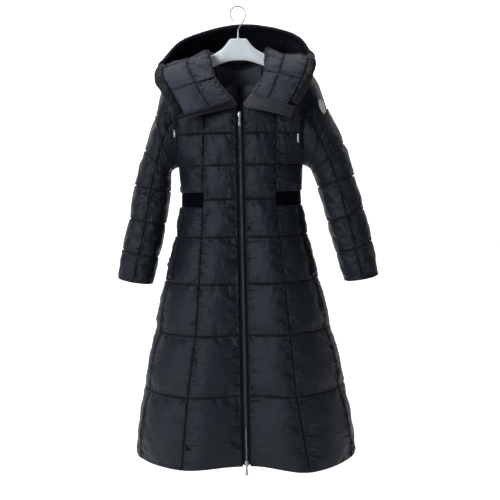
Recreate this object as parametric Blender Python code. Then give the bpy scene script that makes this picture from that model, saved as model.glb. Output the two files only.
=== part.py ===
"""A long hooded down coat hanging on a clothes hanger, built from its sewn pieces.

Metres, +Z up. The coat faces -Y, +X is the wearer's left side, and the origin is the inside of
the hanger's hook, where a rail holds it. Run it with: blender --background --python part.py
"""

import math

import bpy
import numpy as np

# ------------------------------------------------------------------ driving dimensions

CLOTH = 0.003  # thickness of the stitched wall along a quilting seam
GAP = 0.0004  # room between two sewn pieces
BODY_PUFF = 0.013  # how far the down stands above the stitches on the body
SLEEVE_PUFF = 0.010
HOOD_PUFF = 0.008
LINING_PUFF = 0.014

ZIP_HALF = 0.0104  # from the coat's middle to the edge of each front panel
TAPE_THICK = 0.0016
CHAIN_WIDTH = 0.0056
CHAIN_THICK = 0.0028

SHOULDER_SLOPE = 0.4375
NECK_POINT_X = 0.088
SHOULDER_TIP_X = 0.193
HANGER_TOP_AT_NECK = -0.1414
HANGER_SEAT = 0.0021  # from the hanger's top edge up to the middle of the shoulder seam
HANGER_MIDDLE = (0, 0, -0.12)

WAIST_BAND_TOP = -0.545
WAIST_BAND_BOTTOM = -0.586

X, Y, Z = 0, 1, 2


def shoulder_z(x):
    """Height of the shoulder seam, which lies along the hanger's arm."""
    return HANGER_TOP_AT_NECK + HANGER_SEAT - SHOULDER_SLOPE * (x - NECK_POINT_X)


# ------------------------------------------------------------------ curves and walls


def through(points, place):
    """Points on the smooth curve through a list of points, at places counted in points."""
    points = np.asarray(points, float)
    place = np.atleast_1d(np.asarray(place, float))
    last = len(points) - 1
    start = np.clip(place.astype(int), 0, last - 1)
    share = (place - start).reshape(place.shape + (1,) * (points.ndim - 1))
    near, far = points[start], points[start + 1]
    before = np.where(start == 0, 0, start - 1)
    after = np.where(start == last - 1, last, start + 2)
    ends = (slice(None),) + (None,) * (points.ndim - 1)
    leave = np.where((start == 0)[ends], far - near, (far - points[before]) / 2)
    reach = np.where((start == last - 1)[ends], far - near, (points[after] - near) / 2)
    return hermite(near, leave, far, reach, share)


def hermite(near, leave, far, reach, share):
    """The curve from near to far that leaves and arrives along two directions."""
    square, cube = share**2, share**3
    return (
        (2 * cube - 3 * square + 1) * near
        + (cube - 2 * square + share) * leave
        + (3 * square - 2 * cube) * far
        + (cube - square) * reach
    )


def unit(vectors):
    return vectors / np.maximum(np.linalg.norm(vectors, axis=-1, keepdims=True), 1e-12)


def shrink_edges(grid, top=GAP / 2, bottom=GAP / 2, start=GAP / 2, end=GAP / 2):
    """Pulls the border rows and columns of a grid of points in by half a seam gap."""
    grid = grid.copy()
    for edge, inside, by in (
        ((0,), (1,), bottom),
        ((-1,), (-2,), top),
        ((slice(None), 0), (slice(None), 1), start),
        ((slice(None), -1), (slice(None), -2), end),
    ):
        grid[edge] += unit(grid[inside] - grid[edge]) * by
    return grid


def make_object(name, points, faces, material):
    """One named object with its faces turned outwards."""
    used = sorted({i for face in faces for i in face})
    place = {old: new for new, old in enumerate(used)}
    corner = np.asarray(points, float)[used]
    faces = [tuple(place[i] for i in face) for face in faces]
    mesh = bpy.data.meshes.new(name)
    mesh.from_pydata(corner.tolist(), [], faces)
    turns = sum(
        np.dot(corner[f[0]], np.cross(corner[f[i]], corner[f[i + 1]]))
        for f in faces
        for i in range(1, len(f) - 1)
    )
    if turns < 0:
        mesh.flip_normals()
    mesh.validate()
    mesh.shade_smooth()
    mesh.set_sharp_from_angle(angle=math.radians(50))
    mesh.materials.append(material)
    made = bpy.data.objects.new(name, mesh)
    bpy.context.scene.collection.objects.link(made)
    return made


def wall(name, outer, inner, material, plain_rows=None):
    """A closed sheet between an outer and an inner grid of points.

    plain_rows are the only rows that the inside keeps between its two side edges.
    """
    rows, columns = outer.shape[:2]
    points = np.concatenate([outer.reshape(-1, 3), inner.reshape(-1, 3)])
    back = rows * columns
    faces = []
    for r in range(rows - 1):
        for c in range(columns - 1):
            a, b = r * columns + c, r * columns + c + 1
            faces.append((a, b, b + columns, a + columns))
    kept = list(range(rows)) if plain_rows is None else sorted({0, rows - 1, *plain_rows})
    for low, high in zip(kept, kept[1:]):
        for c in range(columns - 1):
            left = [low, high] if c else list(range(low, high + 1))
            right = [low, high] if c < columns - 2 else list(range(low, high + 1))
            loop = [r * columns + c for r in left] + [r * columns + c + 1 for r in reversed(right)]
            faces.append(tuple(back + i for i in loop))
    border = [c for c in range(columns)]
    border += [r * columns + columns - 1 for r in range(1, rows)]
    border += [(rows - 1) * columns + c for c in range(columns - 2, -1, -1)]
    border += [r * columns for r in range(rows - 2, 0, -1)]
    for a, b in zip(border, border[1:] + border[:1]):
        faces.append((b, a, a + back, b + back))
    return make_object(name, points, faces, material)


def tube(name, rings, material, closed=False):
    """A solid through rings of points, with its ends filled or, if closed, joined."""
    count, sides = rings.shape[:2]
    faces = []
    for r in range(count if closed else count - 1):
        for s in range(sides):
            a, b = r * sides + s, r * sides + (s + 1) % sides
            d, e = ((r + 1) % count) * sides + s, ((r + 1) % count) * sides + (s + 1) % sides
            faces.append((a, b, e, d))
    if not closed:
        faces.append(tuple(range(sides - 1, -1, -1)))
        faces.append(tuple((count - 1) * sides + s for s in range(sides)))
    return make_object(name, rings.reshape(-1, 3), faces, material)


def oval_rings(path, across, along, half_across, half_along, sides):
    """Rings of an oval section on a path; across and along are its two directions."""
    turn = np.linspace(0, 2 * math.pi, sides, endpoint=False)
    half_across = np.broadcast_to(half_across, (len(path),))[:, None, None]
    half_along = np.broadcast_to(half_along, (len(path),))[:, None, None]
    return (
        path[:, None]
        + np.cos(turn)[None, :, None] * across[:, None] * half_across
        + np.sin(turn)[None, :, None] * along[:, None] * half_along
    )


def pillow(share):
    """Height of stuffed cloth across one quilted cell, from 0 at its seams to 1 in its middle."""
    return np.clip(1 - np.abs(2 * share - 1) ** 2.4, 0, 1) ** 0.62


def cell_share(places, seams):
    """Where each place lies between the two seams on either side of it, from 0 to 1."""
    seams = np.asarray(seams, float)
    low = np.clip(np.searchsorted(seams, places, side="right") - 1, 0, len(seams) - 2)
    return (places - seams[low]) / (seams[low + 1] - seams[low])


def cell_places(seams, shares):
    """Places for grid lines: each seam, and the given shares of every cell."""
    places = [seams[0]]
    for low, high in zip(seams, seams[1:]):
        places += [low + (high - low) * s for s in shares] + [high]
    return np.array(places)


# ------------------------------------------------------------------ materials


def cloth_material(name, colour, roughness, metallic=0.0):
    made = bpy.data.materials.new(name)
    made.use_nodes = True
    shader = made.node_tree.nodes["Principled BSDF"]
    shader.inputs["Base Color"].default_value = (*colour, 1)
    shader.inputs["Roughness"].default_value = roughness
    shader.inputs["Metallic"].default_value = metallic
    return made


# ------------------------------------------------------------------ the armhole


ARMPIT = np.array((0.183, 0.0, -0.4655))
SHOULDER_TIP = np.array((SHOULDER_TIP_X, 0.0, shoulder_z(SHOULDER_TIP_X)))
ARMHOLE_DEPTH = 0.084  # from the side seam to the armhole's front or back
ARMHOLE_HOLLOW = 0.006  # how far the front and back of the armhole curve in


def armhole(turn):
    """The armhole on the +X side: 0 is the armpit, 90 the front, 180 the shoulder, 270 the back."""
    turn = np.radians(turn)
    middle, rise = (ARMPIT + SHOULDER_TIP) / 2, (SHOULDER_TIP - ARMPIT) / 2
    loop = middle - np.cos(turn)[..., None] * rise
    loop[..., Y] -= np.sin(turn) * ARMHOLE_DEPTH
    loop[..., X] -= np.sin(turn) ** 2 * ARMHOLE_HOLLOW
    return loop


def armhole_normal(turn):
    """The direction halfway between the body's and the sleeve's outsides, round the armhole."""
    turn = np.radians(turn)
    out = np.stack([0.05 + 0.57 * np.cos(turn) ** 2, -np.sin(turn), -0.77 * np.cos(turn)], axis=-1)
    under = np.clip(np.cos(turn), 0, 1)[..., None] ** 4
    return unit(out) * (1 + 0.41 * under)


# ------------------------------------------------------------------ the body's sections

# One row for each level seam from the hem to the armpit. The princess seams run from the hem
# over the chest to the shoulder, and the coat hangs a little differently on its two sides. The
# two drops say how much lower than its front middle the row hangs at the seam and at the side.
LEVEL_COLUMNS = (
    "name", "z", "front_y", "right_seam_x", "left_seam_x", "seam_y",
    "left_side_x", "right_side_x", "back_seam_x", "back_seam_y", "back_y",
    "left_seam_drop", "left_side_drop",
)  # fmt: skip
LEVEL_ROWS = (
    ("hem", -1.326, -0.178, 0.183, 0.180, -0.203, 0.327, 0.330, 0.172, 0.196, 0.205, 0.014, 0.007),
    ("calf", -1.1225, -0.170, 0.162, 0.146, -0.186, 0.294, 0.297, 0.152, 0.180, 0.190, 0.003, 0.002),
    ("knee", -0.9506, -0.156, 0.137, 0.130, -0.166, 0.255, 0.261, 0.132, 0.160, 0.172, 0, 0),
    ("thigh", -0.805, -0.142, 0.124, 0.118, -0.145, 0.221, 0.228, 0.118, 0.138, 0.152, 0, 0),
    ("hip", -0.672, -0.124, 0.115, 0.107, -0.120, 0.190, 0.193, 0.106, 0.112, 0.126, 0, 0),
    ("waist", -0.5636, -0.110, 0.109, 0.099, -0.098, 0.1755, 0.1755, 0.098, 0.090, 0.100, 0, 0),
    ("armpit", -0.4655, -0.118, 0.107, 0.099, -0.107, ARMPIT[X], ARMPIT[X], 0.100, 0.098, 0.108,
     0, 0),
)  # fmt: skip
# Above the armpit the pieces end on the neckline and on the armhole, so each row is a set of points.
YOKE_COLUMNS = ("name", "front", "seam", "armhole_turn", "back_seam", "back")
ARCH = 0.0060  # how far the cloth has fallen where it leaves the hanger's arm
YOKE_ROWS = (
    ("chest", (ZIP_HALF, -0.121, -0.375), (0.1025, -0.109, -0.375), 69,
     (0.104, 0.104, -0.375), (0, 0.114, -0.375)),
    ("neck", (ZIP_HALF, -0.120, -0.303), (0.104, -0.103, -0.300), 95,
     (0.108, 0.102, -0.300), (0, 0.112, -0.300)),
    ("yoke", (0.066, -0.078, -0.225), (0.122, -0.072, -0.226), 133,
     (0.122, 0.074, -0.226), (0, 0.098, -0.228)),
    ("arch", (0.0865, -0.020, shoulder_z(0.0865) - ARCH), (0.138, -0.021, shoulder_z(0.138) - ARCH),
     165, (0.138, 0.021, shoulder_z(0.138) - ARCH), (0, 0.085, -0.184)),
    ("shoulder", (NECK_POINT_X, 0, shoulder_z(NECK_POINT_X)), (0.140, 0, shoulder_z(0.140)), 180,
     (0.140, 0, shoulder_z(0.140)), (0, 0.078, -0.160)),
)  # fmt: skip
BACK_NECK_SHARE = 0.62  # how far out the neck point lies on the half width of the back's top edge

ARMPIT_ROW, NECK_ROW, YOKE_ROW, SHOULDER_ROW = 6, 8, 9, 11
FRONT, SEAM, SIDE_FRONT, SIDE_BACK, BACK_SEAM, BACK = 0, 1, 2 - 1e-6, 2, 3, 4  # places round a row
NECK_POINT = BACK - BACK_NECK_SHARE
EDGE_EASE = 3  # power by which a move of a cut edge dies away into its panel


def row_place(z):
    """The place in the level rows at a height, between the hem and the armpit."""
    heights = [row[1] for row in LEVEL_ROWS]
    return float(np.interp(z, heights, range(len(heights))))


BAND_BOTTOM_ROW = row_place(WAIST_BAND_BOTTOM)
BAND_TOP_ROW = row_place(WAIST_BAND_TOP)


def body_rows(side):
    """For each row its five points on one side: front, seam, side front, side back, back seam, back."""
    rows = []
    for row in LEVEL_ROWS:
        of = dict(zip(LEVEL_COLUMNS, row))
        hand = "left" if side > 0 else "right"
        seam_drop, side_drop = (side > 0) * of["left_seam_drop"], (side > 0) * of["left_side_drop"]
        edge = (of[f"{hand}_side_x"], 0, of["z"] - side_drop)
        rows.append([
            (ZIP_HALF, of["front_y"], of["z"]),
            (of[f"{hand}_seam_x"], of["seam_y"], of["z"] - seam_drop),
            edge,
            edge,
            (of["back_seam_x"], of["back_seam_y"], of["z"]),
            (0, of["back_y"], of["z"]),
        ])  # fmt: skip
    for row in YOKE_ROWS:
        of = dict(zip(YOKE_COLUMNS, row))
        turn = of["armhole_turn"]
        rows.append([
            of["front"], of["seam"], tuple(armhole(np.array(turn))),
            tuple(armhole(np.array(360 - turn))), of["back_seam"], of["back"],
        ])  # fmt: skip
    return np.array(rows, float)


def row_curve(row, points, place):
    """A row's curve round one side of the coat, from the front's middle to the back's."""
    front, seam, side_front, side_back, back_seam, back = points
    level = row <= ARMPIT_ROW
    out = np.zeros(place.shape + (3,))
    chords = {
        0: (front, seam), 1: (seam, side_front), 2: (side_back, back_seam), 3: (back_seam, back),
    }  # fmt: skip
    at_seam = unit(unit(seam - front) + unit(side_front - seam))
    at_back_seam = unit(unit(back_seam - side_back) + unit(back - back_seam))
    across, backward = np.array((1.0, 0, 0)), np.array((0, 1.0, 0))
    leave_front = across if row < YOKE_ROW else unit(seam - front)
    lean = 0.6 if row <= YOKE_ROW else 0
    side_in = backward if level else unit(unit(side_front - seam) + lean * backward)
    side_out = backward if level else unit(unit(back_seam - side_back) + lean * backward)
    directions = {
        0: (leave_front, at_seam), 1: (at_seam, side_in),
        2: (side_out, at_back_seam), 3: (at_back_seam, -across),
    }  # fmt: skip
    if row == SHOULDER_ROW:
        down = unit(seam - front)
        directions[0] = directions[1] = (down, down)
        directions[2] = (-down, -down)
    for part in range(4):
        chosen = (np.minimum(place.astype(int), 3) == part)
        share = (place[chosen] - part)[:, None]
        near, far = chords[part]
        length = np.linalg.norm(far - near)
        leave, reach = (d * length for d in directions[part])
        out[chosen] = hermite(near, leave, far, reach, share)
        if row == SHOULDER_ROW and part == 3:
            out[chosen] = back_top_edge(share[:, 0], near, back)
    return out


def back_top_edge(share, seam, back):
    """The back's top edge: along the shoulder seam to the neck point, then round the back neck."""
    neck = np.array((NECK_POINT_X, 0, shoulder_z(NECK_POINT_X)))
    bend = 1 - BACK_NECK_SHARE
    on_shoulder = seam + (neck - seam) * np.clip(share / bend, 0, 1)[:, None]
    round_neck = np.clip((share - bend) / BACK_NECK_SHARE, 0, 1)[:, None]
    length = np.linalg.norm(back - neck)
    leave, reach = np.array((-0.2, 1.0, -0.1)) * length, np.array((-1.2, 0, 0)) * length
    curve = hermite(neck, leave, back, reach, round_neck)
    return np.where((share < bend)[:, None], on_shoulder, curve)


def armhole_turn(rows):
    """How far round the armhole its front edge has come at each row."""
    turns = [0] + [dict(zip(YOKE_COLUMNS, row))["armhole_turn"] for row in YOKE_ROWS]
    return through(np.array(turns, float), np.asarray(rows, float) - ARMPIT_ROW)


def body_points(side, places, rows):
    """The stitched surface on one side of the coat, as rows of points."""
    points = body_rows(side)
    rows = np.asarray(rows, float)
    grid = through(np.array([row_curve(r, points[r], places) for r in range(len(points))]), rows)
    # the cut edges follow their own lines: the armhole, the side seam and the zip
    above = rows > ARMPIT_ROW
    turn = np.where(above, armhole_turn(np.maximum(rows, ARMPIT_ROW)), 0)
    for place, edge_turn in ((SIDE_FRONT, turn), (SIDE_BACK, 360 - turn)):
        part = int(place)
        corners = [row_curve(r, points[r], np.array([place]))[0] for r in range(len(points))]
        edge = through(np.array(corners), rows)
        wanted = np.where(above[:, None], armhole(edge_turn), edge * (1, 0, 1))
        share = places - part if part < place else 1 - (places - part)
        in_part = (places >= part) & (places < part + 1)
        near = np.where(in_part, np.clip(share, 0, 1), 0) ** EDGE_EASE
        grid += (wanted - edge)[:, None] * near[None, :, None]
    front_x = through(points[:, 0], rows)[:, X]
    off_line = np.where(rows < NECK_ROW, ZIP_HALF - front_x, 0)
    grid[..., X] += off_line[:, None] * np.clip(1 - places, 0, 1) ** EDGE_EASE
    grid[..., X] *= side
    return grid


def body_normals(side, places, rows):
    """Directions from the stitched surface's middle to its outside; along a seam they lean to
    halfway between the two pieces, and are longer than 1 where the pieces meet at an angle."""
    step = 0.01
    low_place, high_place = places - step, places + step
    low_place = np.where(places < step, 0, low_place)
    high_place = np.where(places > BACK - step, BACK, high_place)
    high_place = np.where(np.isclose(places, SIDE_FRONT, rtol=0, atol=1e-7), SIDE_FRONT, high_place)
    low_place = np.where(np.isclose(places, SIDE_BACK, rtol=0, atol=1e-7), SIDE_BACK, low_place)
    low_row, high_row = np.maximum(rows - step, 0), np.minimum(rows + step, SHOULDER_ROW)
    across = body_points(side, high_place, rows) - body_points(side, low_place, rows)
    up = body_points(side, places, high_row) - body_points(side, places, low_row)
    normals = unit(np.cross(across, up)) * side
    turn = armhole_turn(np.maximum(rows, ARMPIT_ROW))
    for place, edge_turn in ((SIDE_FRONT, turn), (SIDE_BACK, 360 - turn)):
        here = np.isclose(places, place, rtol=0, atol=1e-7)
        on_hole = armhole_normal(edge_turn) * (side, 1, 1)
        on_side = np.tile((side, 0.0, 0.0), (len(rows), 1))
        edge = np.where((rows > ARMPIT_ROW - 1e-6)[:, None], on_hole, on_side)
        normals[:, here] = edge[:, None]
    ridge = unit(np.array((SHOULDER_SLOPE * side, 0, 1.0)))
    near_top = (np.asarray(rows) > SHOULDER_ROW - 1e-6)[:, None, None]
    behind_neck = np.clip((places - NECK_POINT) / 0.3, 0, 1)[None, :, None]
    at_hole = np.isclose(places, SIDE_BACK, rtol=0, atol=1e-5)[None, :, None]
    blend = np.where(at_hole, 0, near_top * (1 - behind_neck))
    return np.where(blend > 0, unit(normals * (1 - blend) + ridge * blend), normals)


# ------------------------------------------------------------------ body pieces

CELL_ROWS = (0.14, 0.5, 0.86)  # grid lines between two level seams
CELL_COLUMNS = (0.12, 0.34, 0.66, 0.88)
BACK_COLUMNS = (0.12, 1 - BACK_NECK_SHARE, 0.66, 0.88)
YOKE_SEAM = 8.5  # the quilting seam over the chest and shoulder blades, in rows
TOP_ROWS = (9.05, 9.6, 10.2)  # grid lines above it, the last where the cloth bends over the hanger

POCKET_TOP, POCKET_BOTTOM = 4.62, 3.03  # in rows
POCKET_PLACE = 0.60  # share of the side front panel at the pocket's slit
POCKET_LIP = 0.72  # outer edge of its welt


def level_rows(low, high):
    """Grid rows and seams of a piece between two rows."""
    seams = [low] + [s for s in (1, 2, 3, 4, 5, 6, 7, YOKE_SEAM) if low < s < high] + [high]
    rows = list(cell_places((0, 1, 2, 3, 4, 5, 6, 7, YOKE_SEAM), CELL_ROWS)) + list(TOP_ROWS)
    rows = np.array([low] + [r for r in rows if low + 0.03 < r < high - 0.03] + [high])
    return rows, seams


def plain_rows(rows, seams):
    """The rows that the inside of a piece keeps: its seams, and the bend over the hanger."""
    return [i for i, r in enumerate(rows) if r > YOKE_SEAM or np.isclose(r, seams).any()]


def quilted_grids(side, start, end, low, high, columns, splits=None):
    """Outer and inner points of a quilted body piece, with its rows and the rows of its seams."""
    rows, seams = level_rows(low, high)
    shares = np.array([0, *columns, 1])
    places = np.clip(start + (end - start) * shares, start, end)
    grid = body_points(side, places, rows)
    normals = body_normals(side, places, rows)
    by_row = pillow(cell_share(rows, seams))
    height = by_row[:, None] * pillow(shares)[None, :]
    if splits is not None:
        at, split_low, split_high = splits
        split = 0.8 * pillow(cell_share(shares, (0, at, 1)))
        inside = (rows > split_low) & (rows < split_high)
        height[inside] = by_row[inside][:, None] * split[None, :]
    side_share = np.clip(1 - np.abs(places - SIDE_BACK), 0, 1)[None, :]
    rubbed = np.exp(-(((rows - ARMPIT_ROW) / 0.5) ** 2))[:, None] * side_share**2
    height *= 1 - 0.9 * rubbed  # the down is pressed flat under the arm
    outer = grid + normals * (CLOTH / 2 + BODY_PUFF * height[..., None])
    inner = grid - normals * CLOTH / 2
    return shrink_edges(outer), shrink_edges(inner), rows, seams


def quilted(name, side, start, end, low, high, material, columns=CELL_COLUMNS, splits=None):
    """A quilted body piece between two places round the coat and between two rows."""
    outer, inner, rows, seams = quilted_grids(side, start, end, low, high, columns, splits)
    wall(name, outer, inner, material, plain_rows(rows, seams))


def flat_strip(name, side, places, rows, material):
    """A plain strip of cloth between two rows."""
    grid = body_points(side, places, rows)
    normals = body_normals(side, places, rows)
    outer, inner = grid + normals * CLOTH / 2, grid - normals * CLOTH / 2
    wall(name, shrink_edges(outer), shrink_edges(inner), material)


POCKET_COLUMNS = (0.1, 0.3, 0.5, POCKET_PLACE, POCKET_LIP, 0.88)
POCKET_SPLIT = ((POCKET_PLACE + POCKET_LIP) / 2, POCKET_BOTTOM, BAND_BOTTOM_ROW)


def make_body(down, ribbed):
    for side, hand in ((-1, "right"), (1, "left")):
        quilted(f"front_centre_{hand}", side, FRONT, SEAM, 0, SHOULDER_ROW, down)
        for part, low, high in (
            ("upper", BAND_TOP_ROW, SHOULDER_ROW), ("lower", 0, BAND_BOTTOM_ROW),
        ):  # fmt: skip
            pocket = {"columns": POCKET_COLUMNS, "splits": POCKET_SPLIT} if part == "lower" else {}
            quilted(f"front_side_{part}_{hand}", side, SEAM, SIDE_FRONT, low, high, down, **pocket)
            quilted(f"back_side_{part}_{hand}", side, SIDE_BACK, BACK_SEAM, low, high, down)
        band_rows = np.linspace(BAND_BOTTOM_ROW, BAND_TOP_ROW, 3)
        shares = np.array((0, *CELL_COLUMNS, 1))
        band_places = np.concatenate([SEAM + shares[:-1], SIDE_BACK + shares])
        flat_strip(f"waist_elastic_{hand}", side, band_places, band_rows, ribbed)


def back_grids():
    """Outer and inner points of the back's middle panel, whose halves meet on the centre seam."""
    half = {s: quilted_grids(s, BACK_SEAM, BACK, 0, SHOULDER_ROW, BACK_COLUMNS) for s in (-1, 1)}
    whole = [
        np.concatenate([half[-1][k][:, :-1], half[1][k][:, ::-1]], axis=1) for k in (0, 1)
    ]
    for grid in whole:
        grid[:, len(BACK_COLUMNS) + 1, X] = 0
    return whole[0], whole[1], half[1][2], half[1][3]


def make_back(down):
    outer, inner, rows, seams = back_grids()
    kept = [i for i, r in enumerate(rows) if r > 7 or np.isclose(r, seams).any()]
    wall("back_centre", outer, inner, down, kept)


def on_grid(grid, row_values, column_values, rows, columns):
    """Points on the flat faces of a grid, at the given rows and columns of its own measures."""
    row = np.interp(rows, row_values, np.arange(len(row_values)))
    column = np.interp(columns, column_values, np.arange(len(column_values)))
    r = np.minimum(row.astype(int), len(row_values) - 2)
    c = np.minimum(column.astype(int), len(column_values) - 2)
    u, v = (row - r)[:, None, None], (column - c)[None, :, None]
    low = grid[np.ix_(r, c)] * (1 - v) + grid[np.ix_(r, c + 1)] * v
    high = grid[np.ix_(r + 1, c)] * (1 - v) + grid[np.ix_(r + 1, c + 1)] * v
    return low * (1 - u) + high * u


def grid_normals(grid):
    """Directions across a grid of points, from its rows and columns."""
    return unit(np.cross(np.gradient(grid, axis=1), np.gradient(grid, axis=0)))


LAID_GAP = 0.0008  # between a panel's flat faces and what is sewn on it
LINING_GAP = 0.0020  # the lining bridges the creases of the panel behind it
LINING_TOP, LINING_FOOT = 10.4, 7.05  # rows where the neck lining begins and ends
LINING_REACH = 0.52  # share of each half of the back that it covers


def make_neck_lining(lining):
    """What shows of the lining inside the back neck: a plain yoke over two round stuffed lobes."""
    _, inner, back_rows, _ = back_grids()
    shares = np.array((0, *BACK_COLUMNS, 1))
    across = np.concatenate([shares[:-1] - 1, 1 - shares[::-1]])
    on_creases = back_rows[(back_rows > 7.2) & (back_rows < LINING_TOP - 0.3)]
    rows = np.concatenate([[LINING_FOOT], on_creases, [8.02, 8.8, 9.3, 9.9, LINING_TOP]])
    rows = np.sort(rows)
    half = np.array((0.06, *(1 - shares[-2:2:-1]), 0.23, 0.43, LINING_REACH))
    half = np.sort(half)
    columns = np.concatenate([-half[::-1], [0], half])
    seat = on_grid(inner, back_rows, across, rows, columns)
    inward = -grid_normals(seat)
    if inward[len(rows) // 2, len(columns) // 2, Y] > 0:
        inward = -inward
    lobe_top = 9.45
    drop = np.clip((lobe_top - rows) / 1.5, 0, 1)
    share = np.abs(columns) / LINING_REACH
    crown = np.clip(1 - (2 * share - 1) ** 2, 0, 1)
    lobe = np.clip(crown[None, :] - (1 - np.minimum(drop * 2.2, 1))[:, None] ** 2, 0, 1) ** 0.5
    foot = np.clip((rows - LINING_FOOT) / 0.3, 0, 1)[:, None]
    at_neck = np.clip((rows - 9.3)[:, None], 0, 1) * share[None, :] ** 2
    outer = seat + inward * (LINING_GAP * (1 + 1.5 * at_neck))[..., None]
    raised = outer + inward * (0.0015 + LINING_PUFF * (lobe * foot)[..., None])
    wall("neck_lining", raised, outer, lining)


# ------------------------------------------------------------------ sleeves

# One row for each seam round the sleeve: its inner and outer edge seen from the front, and half
# its depth from front to back. Row 0 is the armhole itself.
SLEEVE_COLUMNS = ("name", "inner_x", "inner_z", "outer_x", "outer_z", "half_depth")
SLEEVE_ROWS = {
    "left": (
        ("cap", 0.193, -0.4688, 0.221, -0.222, 0.091),
        ("upper", 0.203, -0.4745, 0.255, -0.303, 0.086),
        ("arm", 0.213, -0.4860, 0.304, -0.408, 0.073),
        ("elbow", 0.2340, -0.5320, 0.3325, -0.503, 0.061),
        ("fore", 0.2620, -0.6370, 0.3605, -0.604, 0.058),
        ("wrist", 0.2870, -0.7320, 0.3840, -0.698, 0.054),
        ("cuff", 0.3130, -0.8180, 0.4020, -0.803, 0.046),
    ),
    "right": (
        ("cap", 0.193, -0.4688, 0.217, -0.226, 0.090),
        ("upper", 0.202, -0.4745, 0.242, -0.312, 0.086),
        ("arm", 0.2095, -0.4860, 0.278, -0.416, 0.073),
        ("elbow", 0.2165, -0.5390, 0.3115, -0.519, 0.062),
        ("fore", 0.2340, -0.6350, 0.3300, -0.616, 0.058),
        ("wrist", 0.2570, -0.7320, 0.3540, -0.709, 0.054),
        ("cuff", 0.2790, -0.8150, 0.3710, -0.797, 0.047),
    ),
}
SLEEVE_SEAM_ROW = 6  # the body's grid row, counted from the armpit, where the sleeve's seams end
SLEEVE_SEAMS = (0, 2, 3, 4, 5, 6, 7)


def sleeve_turns():
    """Turns of the sleeve's grid lines, which meet the body's own round the armhole."""
    rows, _ = level_rows(ARMPIT_ROW, SHOULDER_ROW)
    front = armhole_turn(rows)
    under = np.concatenate([-front[SLEEVE_SEAM_ROW:0:-1], front[: SLEEVE_SEAM_ROW + 1]])
    top = front[SLEEVE_SEAM_ROW:]
    return under, np.concatenate([top, 360 - top[-2::-1]])


def sleeve_points(hand, turns, rows):
    """The stitched surface of a sleeve: turn 0 is its inner side, 90 front, 180 outer, 270 back."""
    turn = np.radians(turns)
    rings = [armhole(turns)]
    for row in SLEEVE_ROWS[hand]:
        of = dict(zip(SLEEVE_COLUMNS, row))
        inner = np.array((of["inner_x"], 0, of["inner_z"]))
        outer = np.array((of["outer_x"], 0, of["outer_z"]))
        ring = (inner + outer) / 2 - np.cos(turn)[:, None] * (outer - inner) / 2
        ring[:, Y] -= np.sin(turn) * of["half_depth"]
        rings.append(ring)
    grid = through(np.array(rings), rows)
    if hand == "right":
        grid[..., X] *= -1
    return grid


def sleeve_normals(hand, turns, rows):
    turn_step, row_step = 1.0, 0.02
    low_row, high_row = np.maximum(rows - row_step, 0), np.minimum(rows + row_step, 7)
    ahead = sleeve_points(hand, turns + turn_step, rows)
    around = ahead - sleeve_points(hand, turns - turn_step, rows)
    down = sleeve_points(hand, turns, high_row) - sleeve_points(hand, turns, low_row)
    side = -1 if hand == "right" else 1
    normals = unit(np.cross(down, around)) * side
    normals[0] = armhole_normal(turns) * (side, 1, 1)
    return normals


def sleeve_grids(hand, turns):
    rows = cell_places(SLEEVE_SEAMS, CELL_ROWS)
    grid = sleeve_points(hand, turns, rows)
    normals = sleeve_normals(hand, turns, rows)
    shares = (turns - turns[0]) / (turns[-1] - turns[0])
    height = pillow(cell_share(rows, SLEEVE_SEAMS))[:, None] * pillow(shares)[None, :]
    under_arm = np.clip(np.cos(np.radians(turns)), 0, 1)[None, :]
    height *= 1 - under_arm * np.clip((4 - rows) / 1.5, 0, 1)[:, None]
    outer = grid + normals * (CLOTH / 2 + SLEEVE_PUFF * height[..., None])
    return outer, grid - normals * CLOTH / 2, rows


def make_sleeves(down):
    for hand in ("right", "left"):
        for part, turns in zip(("under", "top"), sleeve_turns()):
            outer, inner, rows = sleeve_grids(hand, turns)
            bend = 3 if part == "under" else 1  # the cloth turns a corner under the arm
            kept = [i for i, r in enumerate(rows) if r in SLEEVE_SEAMS or r <= bend]
            room = {"bottom": 2 * GAP, "start": GAP, "end": GAP}
            outer, inner = shrink_edges(outer, **room), shrink_edges(inner, **room)
            wall(f"sleeve_{part}_{hand}", outer, inner, down, kept)


# ------------------------------------------------------------------ hood and collar

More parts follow.
